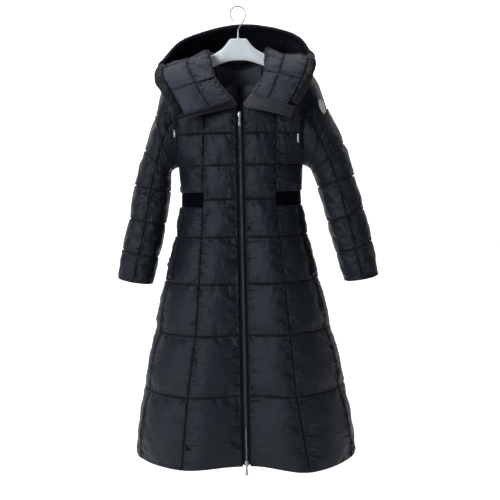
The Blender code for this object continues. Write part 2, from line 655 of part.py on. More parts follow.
# The hood, open at the front, falls over both shoulders as wide lapels and hangs behind as a bag.
# One row for each section, from the right lapel's zip edge round the back to the left one: how
# far round the neck its seam lies (0 at the zip, 1 at the nape), the roll where the cloth turns
# over, then two points and the rim's outer edge.
HOOD_ROWS = (
    ("right zip edge", 0.03, (-0.013, -0.142, -0.303), (-0.066, -0.162, -0.315),
     (-0.122, -0.170, -0.328), (-0.174, -0.166, -0.340)),
    ("right chest", 0.12, (-0.051, -0.134, -0.262), (-0.096, -0.160, -0.281),
     (-0.144, -0.164, -0.297), (-0.188, -0.154, -0.312)),
    ("right collar", 0.24, (-0.074, -0.108, -0.220), (-0.120, -0.143, -0.236),
     (-0.168, -0.147, -0.250), (-0.2165, -0.132, -0.260)),
    ("right shoulder front", 0.42, (-0.088, -0.064, -0.160), (-0.140, -0.100, -0.186),
     (-0.190, -0.108, -0.210), (-0.239, -0.088, -0.220)),
    ("right shoulder", 0.58, (-0.098, -0.024, -0.129), (-0.150, -0.038, -0.156),
     (-0.203, -0.042, -0.178), (-0.241, -0.026, -0.183)),
    ("right shoulder back", 0.74, (-0.110, 0.066, -0.127), (-0.165, 0.100, -0.149),
     (-0.214, 0.082, -0.150), (-0.222, 0.012, -0.150)),
    ("right nape", 0.87, (-0.066, 0.110, -0.147), (-0.108, 0.190, -0.205),
     (-0.145, 0.170, -0.120), (-0.158, 0.042, -0.083)),
    ("nape", 1.0, (0.0, 0.114, -0.152), (0.0, 0.212, -0.232), (0.0, 0.226, -0.112),
     (0.005, 0.066, -0.040)),
    ("left nape", 0.87, (0.066, 0.110, -0.146), (0.108, 0.190, -0.205), (0.150, 0.170, -0.110),
     (0.161, 0.045, -0.072)),
    ("left shoulder back", 0.74, (0.104, 0.066, -0.129), (0.152, 0.098, -0.147),
     (0.200, 0.082, -0.138), (0.212, 0.012, -0.134)),
    ("left shoulder", 0.58, (0.090, -0.022, -0.122), (0.134, -0.038, -0.147),
     (0.182, -0.042, -0.155), (0.224, -0.024, -0.160)),
    ("left shoulder front", 0.42, (0.082, -0.064, -0.156), (0.122, -0.102, -0.177),
     (0.168, -0.112, -0.192), (0.215, -0.092, -0.202)),
    ("left collar", 0.24, (0.075, -0.106, -0.214), (0.108, -0.144, -0.226),
     (0.150, -0.150, -0.240), (0.194, -0.132, -0.248)),
    ("left chest", 0.12, (0.055, -0.134, -0.263), (0.086, -0.160, -0.278),
     (0.124, -0.165, -0.290), (0.164, -0.152, -0.300)),
    ("left zip edge", 0.03, (0.017, -0.142, -0.304), (0.058, -0.162, -0.314),
     (0.102, -0.169, -0.325), (0.145, -0.166, -0.337)),
)  # fmt: skip
# Outside direction of the body's cloth on the +X side: how far round the neck, then its X, Y, Z.
NECK_OUTSIDE = (
    (0.0, 0.10, -0.98, 0.15),
    (0.3, 0.35, -0.80, 0.45),
    (0.5, 0.42, -0.30, 0.86),
    (0.6, 0.40, 0.05, 0.91),
    (0.8, 0.25, 0.60, 0.75),
    (1.0, 0.0, 0.85, 0.53),
)
RIM_STEP = 5  # steps run from 0 at the neck seam to 5 at the rim
ROLL_STEP = 2
STAND = 0.011  # height of the hood's first fold above the neck seam
SIDE_SPLIT = 4.6  # the section where each side piece is sewn to the hood's back
LAST_SECTION = len(HOOD_ROWS) - 1
BAND_SECTION = {"right": 0.34, "left": 0.8}  # width of each stitched zip facing, in sections
CASING_START = 0.14  # room between a facing and the casing's end, in sections
CASING_HALF_WIDTH = 0.0125
CASING_HALF_THICK = 0.0065
CASING_GATHERS = 100
RIM_SAMPLES = 400
HOOD_SEAMS = (0, 0.40, 0.54, 0.68, 0.83, 1)  # quilting seams of its back, from neck to casing
LAPEL_SEAMS = (0, 0.40, 0.68, 1)  # those of its sides, which share the back's grid lines
PLAIN_SHARE = 0.20  # share of each section, from the neck, that has no down in it


def neck_line(side, round_neck):
    """A point on the body's neckline, on the straight stretches between its grid lines."""
    if round_neck <= 0.6:
        rows, _ = level_rows(0, SHOULDER_ROW)
        edge = body_points(side, np.array([0.0]), rows)[:, 0]
        place, known = NECK_ROW + (SHOULDER_ROW - NECK_ROW) * round_neck / 0.6, rows
    else:
        known = BACK_SEAM + np.array((*BACK_COLUMNS[1:], 1))
        edge = body_points(side, known, np.array([float(SHOULDER_ROW)]))[0]
        place = NECK_POINT + BACK_NECK_SHARE * (round_neck - 0.6) / 0.4
    return np.array([np.interp(place, known, edge[:, k]) for k in range(3)])


def neck_edge(side, round_neck):
    """Where the hood's seam lies on the body's neckline, with the two directions it starts in."""
    table = np.array(NECK_OUTSIDE)
    outside = np.array([np.interp(round_neck, table[:, 0], table[:, k]) for k in (1, 2, 3)])
    outside = unit(outside * (side, 1, 1))
    places = (round_neck, max(round_neck - 0.01, 0), min(round_neck + 0.01, 1))
    here, before, after = (neck_line(side, place) for place in places)
    inward = unit(np.cross(outside, after - before))
    if np.dot(inward, np.array(HANGER_MIDDLE) - here) < 0:
        inward = -inward
    return here, outside, inward


NECK_STEPS = 2  # the first two points of each section follow the neckline
NECK_SAMPLES = 281
SEAM_ROOM = 0.0014  # the hood's seam turns a corner round the neckline's edge
STAND_IN = 0.0045  # how far the fold above the seam stands in from the neckline


def hood_neck():
    """The hood's seam and stand along the neckline, at closely spaced sections."""
    places = np.linspace(0, LAST_SECTION, NECK_SAMPLES)
    known = np.arange(LAST_SECTION + 1)
    neck = []
    for place, round_neck in zip(places, np.interp(places, known, [row[1] for row in HOOD_ROWS])):
        here, outside, inward = neck_edge(-1 if place < LAST_SECTION / 2 else 1, round_neck)
        seam = here + inward * (CLOTH / 2 + SEAM_ROOM)
        neck.append((seam, here + inward * STAND_IN + outside * STAND))
    return places, np.array(neck)


NECK_PLACES, NECK_POINTS = hood_neck()
HOOD_TABLE = np.array([row[2:] for row in HOOD_ROWS], float)


def hood_points(sections, steps):
    """The hood's middle surface: a row of points for each section."""
    neck = np.stack([
        [np.interp(sections, NECK_PLACES, NECK_POINTS[:, k, i]) for i in range(3)]
        for k in range(NECK_STEPS)
    ]).transpose(2, 0, 1)  # fmt: skip
    by_section = np.concatenate([neck, through(HOOD_TABLE, sections)], axis=1)
    return through(np.swapaxes(by_section, 0, 1), steps).swapaxes(0, 1)


def hood_normals(sections, steps):
    """Directions out of the lining side, which is the side that shows on the lapels."""
    step = 0.02
    low_section = np.maximum(sections - step, 0)
    high_section = np.minimum(sections + step, LAST_SECTION)
    low_step, high_step = np.maximum(steps - step, 0), np.minimum(steps + step, RIM_STEP)
    around = hood_points(high_section, steps) - hood_points(low_section, steps)
    outward = hood_points(sections, high_step) - hood_points(sections, low_step)
    return unit(np.cross(around, outward))


def steps_from_rim(sections, distance):
    """The step on each section at a distance in from the rim's outer edge."""
    fine = np.linspace(RIM_STEP - 1, RIM_STEP, 41)
    run = np.linalg.norm(np.diff(hood_points(sections, fine), axis=1), axis=2)
    left = np.cumsum(run[:, ::-1], axis=1)
    left = np.concatenate([np.zeros((len(sections), 1)), left], axis=1)
    return np.array([np.interp(distance, row, fine[::-1]) for row in left])


def casing_line():
    """The middle of the casing, all along the rim."""
    sections = np.linspace(0, LAST_SECTION, RIM_SAMPLES)
    steps = steps_from_rim(sections, CASING_HALF_WIDTH)
    pairs = zip(sections, steps)
    return np.array([hood_points(np.array([a]), np.array([b]))[0, 0] for a, b in pairs])


CASING_LINE = casing_line()


def steps_at_casing(sections):
    """The step where each section meets the casing's inner edge."""
    fine = np.linspace(RIM_STEP - 1.2, RIM_STEP, 61)
    curves = hood_points(sections, fine)
    away = np.linalg.norm(curves[:, :, None] - CASING_LINE[None, None], axis=3).min(axis=2)
    room = CASING_HALF_WIDTH + 6 * GAP
    steps = []
    for row in away:
        nearest = row.argmin() + 1
        steps.append(np.interp(room, row[:nearest][::-1], fine[:nearest][::-1]))
    return np.array(steps)


def hood_piece(name, start, end, seams_across, seams, material, lining_out):
    """A quilted hood piece between two sections; lining_out raises its lining side."""
    shares_across = cell_places(seams_across, (0.25, 0.75))
    sections = start + (end - start) * shares_across
    stops = steps_at_casing(sections)
    shares = cell_places(HOOD_SEAMS, (0.25, 0.75))
    grid = np.zeros((len(sections), len(shares), 3))
    normals = np.zeros_like(grid)
    for i, section in enumerate(sections):
        one = np.array([section])
        grid[i] = hood_points(one, shares * stops[i])[0]
        normals[i] = hood_normals(one, shares * stops[i])[0]
    evened = unit(normals[:-2] + normals[1:-1] + normals[2:])
    normals[1:-1, shares < PLAIN_SHARE] = evened[:, shares < PLAIN_SHARE]
    from_neck = np.clip((shares - PLAIN_SHARE) / PLAIN_SHARE, 0, 1)  # the stand is not stuffed
    along = pillow(cell_share(shares, seams)) * from_neck
    height = pillow(cell_share(shares_across, seams_across))[:, None] * along[None, :]
    flip = 1 if lining_out else -1
    outer = grid + flip * normals * (CLOTH / 2 + HOOD_PUFF * height[..., None])
    inner = grid - flip * normals * CLOTH / 2
    room = {"top": GAP, "bottom": GAP}
    return wall(name, shrink_edges(outer, **room), shrink_edges(inner, **room), material)


def make_hood(down, lining, facing):
    edges = {"right": (0, SIDE_SPLIT), "left": (LAST_SECTION, LAST_SECTION - SIDE_SPLIT)}
    for hand, (edge, split) in edges.items():
        inward = 1 if hand == "right" else -1
        band = edge + inward * BAND_SECTION[hand]
        hood_piece(f"hood_side_{hand}", band, split, (0, 0.39, 0.86, 1), LAPEL_SEAMS, lining, True)
        facing_piece(f"zip_facing_{hand}", edge, band, facing)
    back = (0, 0.2, 0.5, 0.8, 1)
    hood_piece("hood_back", SIDE_SPLIT, LAST_SECTION - SIDE_SPLIT, back, HOOD_SEAMS, down, False)


def facing_piece(name, edge, band, material):
    """The flat stitched strip behind the open zip, along a lapel's lower edge."""
    sections = np.linspace(band, edge, 4)
    stops = steps_at_casing(sections)
    rims = steps_from_rim(sections, 0.001)
    shares = cell_places(HOOD_SEAMS, (0.25, 0.75))[2:]
    grid = np.zeros((len(sections), len(shares) + 1, 3))
    normals = np.zeros_like(grid)
    for i, section in enumerate(sections):
        steps = np.append(shares * stops[i], rims[i])
        grid[i] = hood_points(np.array([section]), steps)[0]
        normals[i] = hood_normals(np.array([section]), steps)[0]
    outer = grid + normals * CLOTH / 2
    inner = grid - normals * CLOTH / 2
    wall(name, shrink_edges(outer), shrink_edges(inner), material)


def casing_path(count):
    """Evenly spaced points along the casing's middle, with its two directions across."""
    start = BAND_SECTION["right"] + CASING_START
    end = LAST_SECTION - BAND_SECTION["left"] - CASING_START
    along = np.linspace(0, LAST_SECTION, len(CASING_LINE))
    fine = np.linspace(start, end, RIM_SAMPLES)
    curve = np.stack([np.interp(fine, along, CASING_LINE[:, k]) for k in range(3)], axis=1)
    length = np.concatenate([[0], np.cumsum(np.linalg.norm(np.diff(curve, axis=0), axis=1))])
    even = np.linspace(0, length[-1], count)
    path = np.stack([np.interp(even, length, curve[:, k]) for k in range(3)], axis=1)
    sections = np.interp(even, length, fine)
    normal = hood_normals(sections, np.array([RIM_STEP - 0.15]))[:, 0]
    tangent = unit(np.gradient(path, axis=0))
    outward = unit(np.cross(normal, tangent))
    return path, outward, unit(np.cross(tangent, outward))


def make_casing(material):
    """The gathered drawcord casing round the hood's rim."""
    count = CASING_GATHERS * 2 + 1
    path, outward, normal = casing_path(count)
    wave = np.where(np.arange(count) % 2 == 0, 0.84, 1.14)
    rings = oval_rings(path, outward, normal, CASING_HALF_WIDTH, CASING_HALF_THICK * wave, 6)
    tube("hood_casing", rings, material)


# ------------------------------------------------------------------ zips


def zip_line(rows):
    """The middle of the front zip, halfway between the two front edges."""
    points = body_points(1, np.array([0.0]), rows)[:, 0]
    points[:, X] = 0
    return points


def strip_on_zip(name, x_low, x_high, rows, lift, thickness, material):
    """A straight strip along the front opening between two places across it."""
    line = zip_line(rows)
    across = np.array((x_low, x_high))
    face = np.repeat(line[:, None], 2, axis=1)
    face[..., X] = across
    outer, inner = face.copy(), face.copy()
    outer[..., Y] -= lift + thickness
    inner[..., Y] -= lift
    return wall(name, outer, inner, material)


SLIDER_HALF = (0.0048, 0.0030, 0.0085)  # half sizes across, deep and tall
TOP_SLIDER_Z, BOTTOM_SLIDER_Z = -0.3250, -1.3165
SLIDER_CUT = 0.0014  # size of its cut corners
PULL_THICK = 0.0022
PULL_ROOM = 0.0005  # between a pull's eye and its slider
TAPE_TOP_Z = -0.3125  # where the closed zip's tapes part and turn under the lapels
TAPE_BOW = 0.0002  # how far the tape's line bulges between a slider's two ends


def chamfered(half_x, half_z, cut, taper):
    """The outline of a slider seen from the front; taper widens its lower end."""
    low = half_x * taper
    return [
        (low - cut, -half_z), (low, cut - half_z), (half_x, half_z - cut), (half_x - cut, half_z),
        (cut - half_x, half_z), (-half_x, half_z - cut), (-low, cut - half_z), (cut - low, -half_z),
    ]  # fmt: skip


def make_slider(name, centre, slope, material, taper):
    """A slider that leans with the tape behind it; slope is the tape's run in Y for each Z."""
    rings = []
    for depth, size in ((1, 0.8), (0.6, 1), (-0.6, 1), (-1, 0.8)):
        outline = chamfered(SLIDER_HALF[X] * size, SLIDER_HALF[Z] * size, SLIDER_CUT, taper)
        rings.append([
            (centre[X] + x, centre[Y] + depth * SLIDER_HALF[Y] + slope * z, centre[Z] + z)
            for x, z in outline
        ])  # fmt: skip
    return tube(name, np.array(rings), material)


def make_pull(name, pivot, length, half_width, material):
    """A pull tab hanging from a slider, with its eye on the pivot."""
    half = PULL_THICK / 2
    table = (
        (half, 0.0016), (0.0, 0.0024), (-0.0035, 0.0018), (-0.008, half_width * 0.62),
        (-length * 0.55, half_width * 0.8), (-length * 0.88, half_width), (-length, half_width * 0.7),
    )  # fmt: skip
    rings = []
    for drop, wide in table:
        corners = ((-wide, -half), (wide, -half), (wide, half), (-wide, half))
        rings.append([(pivot[X] + x, pivot[Y] + y, pivot[Z] + drop) for x, y in corners])
    return tube(name, np.array(rings), material)


def make_front_zip(tape, metal):
    rows = np.concatenate([[0.02], cell_places((0, 1, 2, 3, 4, 5, 6, 7), (0.5,))[1:]])
    rows = np.concatenate([rows, [7.35, zip_row(TOP_SLIDER_Z), zip_row(TAPE_TOP_Z)]])
    inner_edge = CHAIN_WIDTH / 2 + GAP
    for side, hand in ((-1, "right"), (1, "left")):
        low, high = sorted((side * inner_edge, side * (ZIP_HALF - GAP)))
        strip_on_zip(f"zip_tape_{hand}", low, high, rows, -TAPE_THICK / 2, TAPE_THICK, tape)
    reach = SLIDER_HALF[Z] + GAP
    chain_ends = zip_row(BOTTOM_SLIDER_Z + reach), zip_row(TOP_SLIDER_Z - reach)
    chain_rows = np.array([chain_ends[0], *rows[1:-2], chain_ends[1]])
    strip_on_zip(
        "zip_chain", -CHAIN_WIDTH / 2, CHAIN_WIDTH / 2, chain_rows, -CHAIN_THICK / 2, CHAIN_THICK,
        metal,
    )  # fmt: skip
    for name, z, length, half_width, taper in (
        ("top", TOP_SLIDER_Z, 0.032, 0.0034, 0.8),
        ("bottom", BOTTOM_SLIDER_Z, 0.033, 0.0048, 1.25),
    ):
        ends = [zip_row(z - SLIDER_HALF[Z]), zip_row(z + SLIDER_HALF[Z])]
        low_y, high_y = zip_line(np.array(ends))[:, Y]
        lean = (high_y - low_y) / 2
        middle_y = (low_y + high_y) / 2
        centre = (0.0, middle_y - TAPE_THICK / 2 - GAP - TAPE_BOW - SLIDER_HALF[Y], z)
        make_slider(f"slider_{name}", centre, lean / SLIDER_HALF[Z], metal, taper)
        reach_y = centre[Y] - SLIDER_HALF[Y] - abs(lean)
        pivot = (0.0, reach_y - PULL_THICK / 2 - PULL_ROOM, z)
        make_pull(f"pull_{name}", pivot, length, half_width, metal)


def zip_row(z):
    """The place in rows of a height on the front zip."""
    rows = np.linspace(0, NECK_ROW, 161)
    return float(np.interp(z, zip_line(rows)[:, Z], rows))


def make_pockets(down, tape):
    """A slanting zipped pocket in each side front, under a narrow folded welt."""
    panel_rows, _ = level_rows(0, BAND_BOTTOM_ROW)
    on_creases = panel_rows[(panel_rows > POCKET_BOTTOM + 0.05) & (panel_rows < POCKET_TOP - 0.05)]
    rows = np.array([POCKET_BOTTOM + 0.03, *on_creases, POCKET_TOP])
    for side, hand in ((-1, "right"), (1, "left")):
        outer, _, grid_rows, _ = quilted_grids(
            side, SEAM, SIDE_FRONT, 0, BAND_BOTTOM_ROW, POCKET_COLUMNS, POCKET_SPLIT
        )
        shares = np.array((0, *POCKET_COLUMNS, 1))
        for name, columns, rise, material in (
            ("welt", (POCKET_PLACE + 0.02, POCKET_PLACE + 0.07, POCKET_LIP), 0.0055, down),
            ("zip", (POCKET_PLACE - 0.025, POCKET_PLACE, POCKET_PLACE + 0.012), 0.002, tape),
        ):
            seat = on_grid(outer, grid_rows, shares, rows, np.array(columns))
            out = grid_normals(seat) * side
            low = seat + out * LAID_GAP
            wall(f"pocket_{name}_{hand}", low + out * rise, low, material)


# ------------------------------------------------------------------ trim


# Each end of the cord leaves its lapel behind the facing's corner: how far along the rim, in
# sections from the zip edge, how far up, out and back its middle lies from there, its length
# and that of its metal tip.
CORD_COLUMNS = ("section", "up", "out", "back", "length", "tip")
CORD_ENDS = {
    "right": (0.10, 0.004, 0.0035, 0.0079, 0.033, 0.020),
    "left": (0.62, 0.002, 0.0035, 0.0056, 0.070, 0.024),
}
CORD_RADIUS = (0.0050, 0.0068)  # in and out of its gathers
CORD_GATHER = 0.0036  # from one ring to the next
CORD_SWAY = 0.002


def make_drawcords(cord, metal):
    """The two gathered ends of the hood's drawcord, each with a metal tip."""
    for hand, side in (("right", -1), ("left", 1)):
        of = dict(zip(CORD_COLUMNS, CORD_ENDS[hand]))
        section = np.array([of["section"] if side < 0 else LAST_SECTION - of["section"]])
        seat = hood_points(section, np.array([float(RIM_STEP)]))[0, 0]
        top = seat + (side * of["out"], of["back"], of["up"])
        count = int(of["length"] / CORD_GATHER) | 1
        drop = of["length"] * np.arange(count) / (count - 1)
        sway = CORD_SWAY * (1 - np.cos(drop / of["length"] * math.pi)) * side
        path = top + np.stack([sway, np.zeros(count), -drop], axis=1)
        across = np.tile((1.0, 0, 0), (count, 1))
        along = np.tile((0, 1.0, 0), (count, 1))
        radius = np.where(np.arange(count) % 2 == 0, *CORD_RADIUS)
        tube(f"drawcord_{hand}", oval_rings(path, across, along, radius, radius, 6), cord)
        below = path[-1] - (0, 0, GAP)
        tip_path = below - np.outer((0, 0.004, 0.006, of["tip"] - 0.002, of["tip"]), (0, 0, 1.0))
        tip_radius = np.array((0.0016, 0.0018, 0.0030, 0.0034, 0.0026))
        rings = oval_rings(tip_path, across[:5], along[:5], tip_radius, tip_radius, 8)
        tube(f"cord_tip_{hand}", rings, metal)


BADGE_TURNS = (120, 141)  # where the patch lies round the sleeve
BADGE_ROWS = (1.42, 1.78)


def make_badge(patch):
    """A plain oval patch sewn on the upper left sleeve."""
    _, top_turns = sleeve_turns()
    outer, _, grid_rows = sleeve_grids("left", top_turns)
    rows, turns = np.linspace(*BADGE_ROWS, 5), np.linspace(*BADGE_TURNS, 5)
    seat = on_grid(outer, grid_rows, top_turns, rows, turns)
    out = -grid_normals(seat)
    low = seat + out * LAID_GAP
    wall("arm_badge", low + out * 0.002, low, patch)


# ------------------------------------------------------------------ hanger

HANGER_COLUMNS = ("x", "top", "bottom", "half_depth")
HANGER_ROWS = (
    (0.0, -0.0920, -0.1550, 0.0085),
    (0.018, -0.0920, -0.1556, 0.0085),
    (0.0255, -0.0945, -0.1566, 0.0085),
    (0.034, -0.1050, -0.1585, 0.0090),
    (0.046, -0.1190, -0.1625, 0.0095),
    (0.066, -0.1325, -0.1695, 0.0085),
    (0.088, HANGER_TOP_AT_NECK - 0.0014, -0.1785, 0.0085),
    (0.130, HANGER_TOP_AT_NECK - SHOULDER_SLOPE * 0.042 - 0.0008, -0.1935, 0.0090),
    (0.168, HANGER_TOP_AT_NECK - SHOULDER_SLOPE * 0.080, -0.2080, 0.0100),
    (0.180, HANGER_TOP_AT_NECK - SHOULDER_SLOPE * 0.092, -0.2090, 0.0085),
    (0.185, HANGER_TOP_AT_NECK - SHOULDER_SLOPE * 0.097 - 0.004, -0.2050, 0.0055),
)
HOOK_RADIUS = 0.0225  # to the middle of the wire
WIRE_RADIUS = 0.0022
HOOK_REACH = 236  # degrees of arc from the stem round to the tip


def make_hanger(plastic, metal):
    rows = [(-x, t, b, d) for x, t, b, d in HANGER_ROWS[:0:-1]] + list(HANGER_ROWS)
    turn = np.linspace(0, 2 * math.pi, 12, endpoint=False)
    rings = []
    for row in rows:
        of = dict(zip(HANGER_COLUMNS, row))
        half = (of["top"] - of["bottom"]) / 2
        z = (of["top"] + of["bottom"]) / 2 + half * np.sin(turn)
        y = of["half_depth"] * np.cos(turn)
        rings.append(np.stack([np.full_like(turn, of["x"]), y, z], axis=1))
    tube("hanger", np.array(rings), plastic)
    make_hook(metal)


def make_hook(metal):
    """The hook's wire: straight up out of the hanger, then round over the rail."""
    top_of_block = HANGER_ROWS[0][1]
    centre = (0.0, -HOOK_RADIUS + WIRE_RADIUS)
    stem = [(HOOK_RADIUS, z) for z in np.linspace(top_of_block + GAP, centre[1] - 0.012, 5)]
    arc = [
        (centre[0] + HOOK_RADIUS * math.cos(math.radians(a)),
         centre[1] + HOOK_RADIUS * math.sin(math.radians(a)))
        for a in np.linspace(0, HOOK_REACH, 22)
    ]  # fmt: skip
    route = np.array([(x - HOOK_RADIUS * ease(z), z) for x, z in stem] + arc)
    path = np.stack([route[:, 0], np.zeros(len(route)), route[:, 1]], axis=1)
    tangent = unit(np.gradient(path, axis=0))
    along = np.tile((0, 1.0, 0), (len(path), 1))
    rings = oval_rings(path, np.cross(tangent, along), along, WIRE_RADIUS, WIRE_RADIUS, 6)
    tube("hanger_hook", rings, metal)


def ease(z):
    """1 low on the stem and 0 where the hook's arc begins, so the stem rises from the middle."""
    low, high = HANGER_ROWS[0][1] + 0.020, -HOOK_RADIUS + WIRE_RADIUS - 0.006
    share = np.clip((high - z) / (high - low), 0, 1)
    return share * share * (3 - 2 * share)


# ------------------------------------------------------------------ the whole coat


def main():
    for old in list(bpy.data.objects):
        bpy.data.objects.remove(old)
    down = cloth_material("down_shell", (0.012, 0.013, 0.018), 0.45)
    ribbed = cloth_material("ribbed_elastic", (0.006, 0.006, 0.014), 0.85)
    lining = cloth_material("lining", (0.030, 0.030, 0.038), 0.40)
    facing = cloth_material("facing", (0.030, 0.029, 0.038), 0.55)
    casing = cloth_material("casing", (0.020, 0.020, 0.024), 0.45)
    tape = cloth_material("zip_tape", (0.008, 0.008, 0.010), 0.80)
    metal = cloth_material("metal", (0.72, 0.72, 0.74), 0.25, 1.0)
    cord = cloth_material("drawcord", (0.010, 0.010, 0.012), 0.75)
    patch = cloth_material("badge", (0.70, 0.69, 0.64), 0.80)
    plastic = cloth_material("hanger_plastic", (0.74, 0.78, 0.79), 0.35)
    make_body(down, ribbed)
    make_back(down)
    make_neck_lining(lining)
    make_sleeves(down)
    make_hood(down, lining, facing)
    make_casing(casing)
    make_front_zip(tape, metal)
    make_pockets(down, tape)
    make_drawcords(cord, metal)
    make_badge(patch)
    make_hanger(plastic, metal)


main()
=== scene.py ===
"""A long hooded down coat on a clothes hanger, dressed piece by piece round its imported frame.

Metres, +Z up. The coat faces -Y, +X is the wearer's left, and the origin is the inside of the
hanger's hook, where a rail holds it.
"""

import math

import bpy
import numpy as np
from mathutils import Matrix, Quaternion, Vector


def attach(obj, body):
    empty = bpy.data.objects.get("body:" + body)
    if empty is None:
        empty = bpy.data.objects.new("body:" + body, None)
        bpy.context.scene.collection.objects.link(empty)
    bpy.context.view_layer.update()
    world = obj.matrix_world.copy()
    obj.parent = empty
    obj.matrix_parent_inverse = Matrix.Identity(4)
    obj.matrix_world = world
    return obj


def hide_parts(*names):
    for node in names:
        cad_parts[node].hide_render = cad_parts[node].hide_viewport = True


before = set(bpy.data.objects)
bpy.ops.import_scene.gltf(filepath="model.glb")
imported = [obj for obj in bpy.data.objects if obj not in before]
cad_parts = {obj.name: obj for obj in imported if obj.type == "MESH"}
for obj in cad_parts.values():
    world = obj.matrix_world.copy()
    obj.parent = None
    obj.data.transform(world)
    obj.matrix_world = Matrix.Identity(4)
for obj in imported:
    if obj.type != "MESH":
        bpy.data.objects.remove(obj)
scene = bpy.context.scene
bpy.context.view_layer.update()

# ------------------------------------------------------------------ camera
# A camera at chest height, a little to the wearer's left, with a slight roll.


def new_object(name, data):
    made = bpy.data.objects.new(name, data)
    scene.collection.objects.link(made)
    return made


camera_data = bpy.data.cameras.new("camera")
camera_data.sensor_width = 36
camera_data.lens = 63.84
camera = new_object("camera", camera_data)
camera.location = (0.01, -2.66, -0.518)
sight = Vector((0.0225, 0, -0.719)) - camera.location
roll = Quaternion((0, 0, 1), math.radians(-1.15))
camera.rotation_mode = "QUATERNION"
camera.rotation_quaternion = sight.to_track_quat("-Z", "Y") @ roll
scene.camera = camera
scene.view_settings.view_transform = "Standard"

# ------------------------------------------------------------------ drawcord ends
# The hood's drawcord comes out at the foot of each lapel: an elastic core inside a gathered
# nylon sleeve, held in a crimped metal end. The left one has been drawn out further.

X, Y, Z = 0, 1, 2
ACROSS, DEEP = (1.0, 0, 0), (0, 1.0, 0)
HANDS = ((-1, "right"), (1, "left"))  # side of the coat along X, and the wearer's hand


class Wire:
    """A socket in a material's nodes; sums on it add Math nodes."""

    def __init__(self, socket):
        self.socket = socket

    @staticmethod
    def of(tree, kind, settings=(), sockets=(), out=0):
        """A node of any kind: its settings, then the values or links of its sockets."""
        made = tree.nodes.new(kind)
        for name, value in dict(settings).items():
            setattr(made, name, value)
        for name, value in dict(sockets).items():
            if isinstance(value, Wire):
                tree.links.new(value.socket, made.inputs[name])
            else:
                made.inputs[name].default_value = value
        return Wire(made.outputs[out])

    def math(self, operation, first, second):
        tree = self.socket.id_data
        return Wire.of(tree, "ShaderNodeMath", {"operation": operation}, {0: first, 1: second})

    def __add__(self, other):
        return self.math("ADD", self, other)

    def __sub__(self, other):
        return self.math("SUBTRACT", self, other)

    def __rsub__(self, other):
        return self.math("SUBTRACT", other, self)

    def __mul__(self, other):
        return self.math("MULTIPLY", self, other)

    __radd__, __rmul__ = __add__, __mul__


def finish_of(name, constants=()):
    """A material, its node tree, its shader with constants, and places on the whole coat."""
    made = bpy.data.materials.new(name)
    made.use_nodes = True
    shader = made.node_tree.nodes["Principled BSDF"]
    for socket, value in dict(constants).items():
        shader.inputs[socket].default_value = value
    where = Wire.of(made.node_tree, "ShaderNodeTexCoord", out="Object")
    return made, made.node_tree, shader, where


def feed(shader, **wires):
    """Joins wires to a shader's sockets, whose names are written with _ for each space."""
    for name, wire in wires.items():
        shader.id_data.links.new(wire.socket, shader.inputs[name.replace("_", " ")])


def bump(tree, strength, distance, height):
    """Directions of a surface with a relief of so many metres."""
    sockets = {"Strength": strength, "Distance": distance, "Height": height}
    return Wire.of(tree, "ShaderNodeBump", sockets=sockets)


def noise(tree, where, scale, detail=2.0, rough=0.5, stretch=(1, 1, 1)):
    """A cloudy pattern from 0 to 1."""
    placed = Wire.of(tree, "ShaderNodeMapping", sockets={"Vector": where, "Scale": stretch})
    values = {"Vector": placed, "Scale": scale, "Detail": detail, "Roughness": rough}
    return Wire.of(tree, "ShaderNodeTexNoise", sockets=values)


def blend_colours(tree, share, low, high):
    """The colour that share picks between two colours."""
    first, second = (c if isinstance(c, Wire) else (*c, 1) for c in (low, high))
    values = {0: share, 6: first, 7: second}
    return Wire.of(tree, "ShaderNodeMix", {"data_type": "RGBA"}, values, out=2)


def threads(across, along, pitch):
    """The height of a plain weave, with its threads running both ways at a pitch."""
    warp, weft = (way * (2 * math.pi / pitch) for way in (across, along))
    return warp.math("SINE", warp, 0) * weft.math("SINE", weft, 0)


def cloth_finish(
    name, low, high, roughness, pitch, weave, crumple, specular=0.5, sheen=(0.0, 0.5), painted_light=0.0
):
    """Woven cloth: two shades that wander over it, a weave and fine crumples.

    pitch is from one thread to the next, weave and crumple are the strengths of the two reliefs,
    sheen is its weight and roughness, and the last argument lightens the whole cloth towards its
    high colour: painted light, a highlight on what stands up from the seams. The colour is darkened
    along the stitched lines, down to a fifth of its low shade in their folds: painted shade.
    """
    constants = dict(zip(("Sheen Weight", "Sheen Roughness"), sheen))
    constants["Specular IOR Level"] = specular
    made, tree, shader, where = finish_of(name, constants)
    flat = Wire.of(tree, "ShaderNodeUVMap", {"uv_map": "cloth"})
    parted = Wire.of(tree, "ShaderNodeSeparateXYZ", sockets={0: flat})
    along = Wire(parted.socket.node.outputs[1])
    near_seam = Wire.of(tree, "ShaderNodeAttribute", {"attribute_name": "seam"}, out="Fac")
    clouds = noise(tree, where, 9.0, 3.0, 0.6)
    specks = noise(tree, where, 160.0, 2.0, 0.6)
    # Painted shade: the colour darkens along the stitched lines; the last argument adds painted
    # light all over.
    share = clouds * 0.75 + specks * 0.25 - near_seam * 0.55 + painted_light
    # Painted shade in the folds by the stitched lines, where the colour falls to a fifth of its low
    # shade.
    fold_shade = (near_seam - 0.66) * 2.4
    folded = tuple(0.22 * shade for shade in low)
    colour = blend_colours(tree, fold_shade, blend_colours(tree, share, low, high), folded)
    rough = clouds * 0.08 + specks * 0.06 + near_seam * near_seam * 0.45 + (roughness - 0.07)
    height = threads(parted, along, pitch) * (weave * pitch)
    creases = noise(tree, where, 55.0, 4.0, 0.62) + noise(tree, where, 140.0, 3.0, 0.6) * 0.35
    relief = bump(tree, 1.0, 1.0, height + creases * crumple)
    feed(shader, Base_Color=colour, Roughness=rough, Normal=relief)
    return made


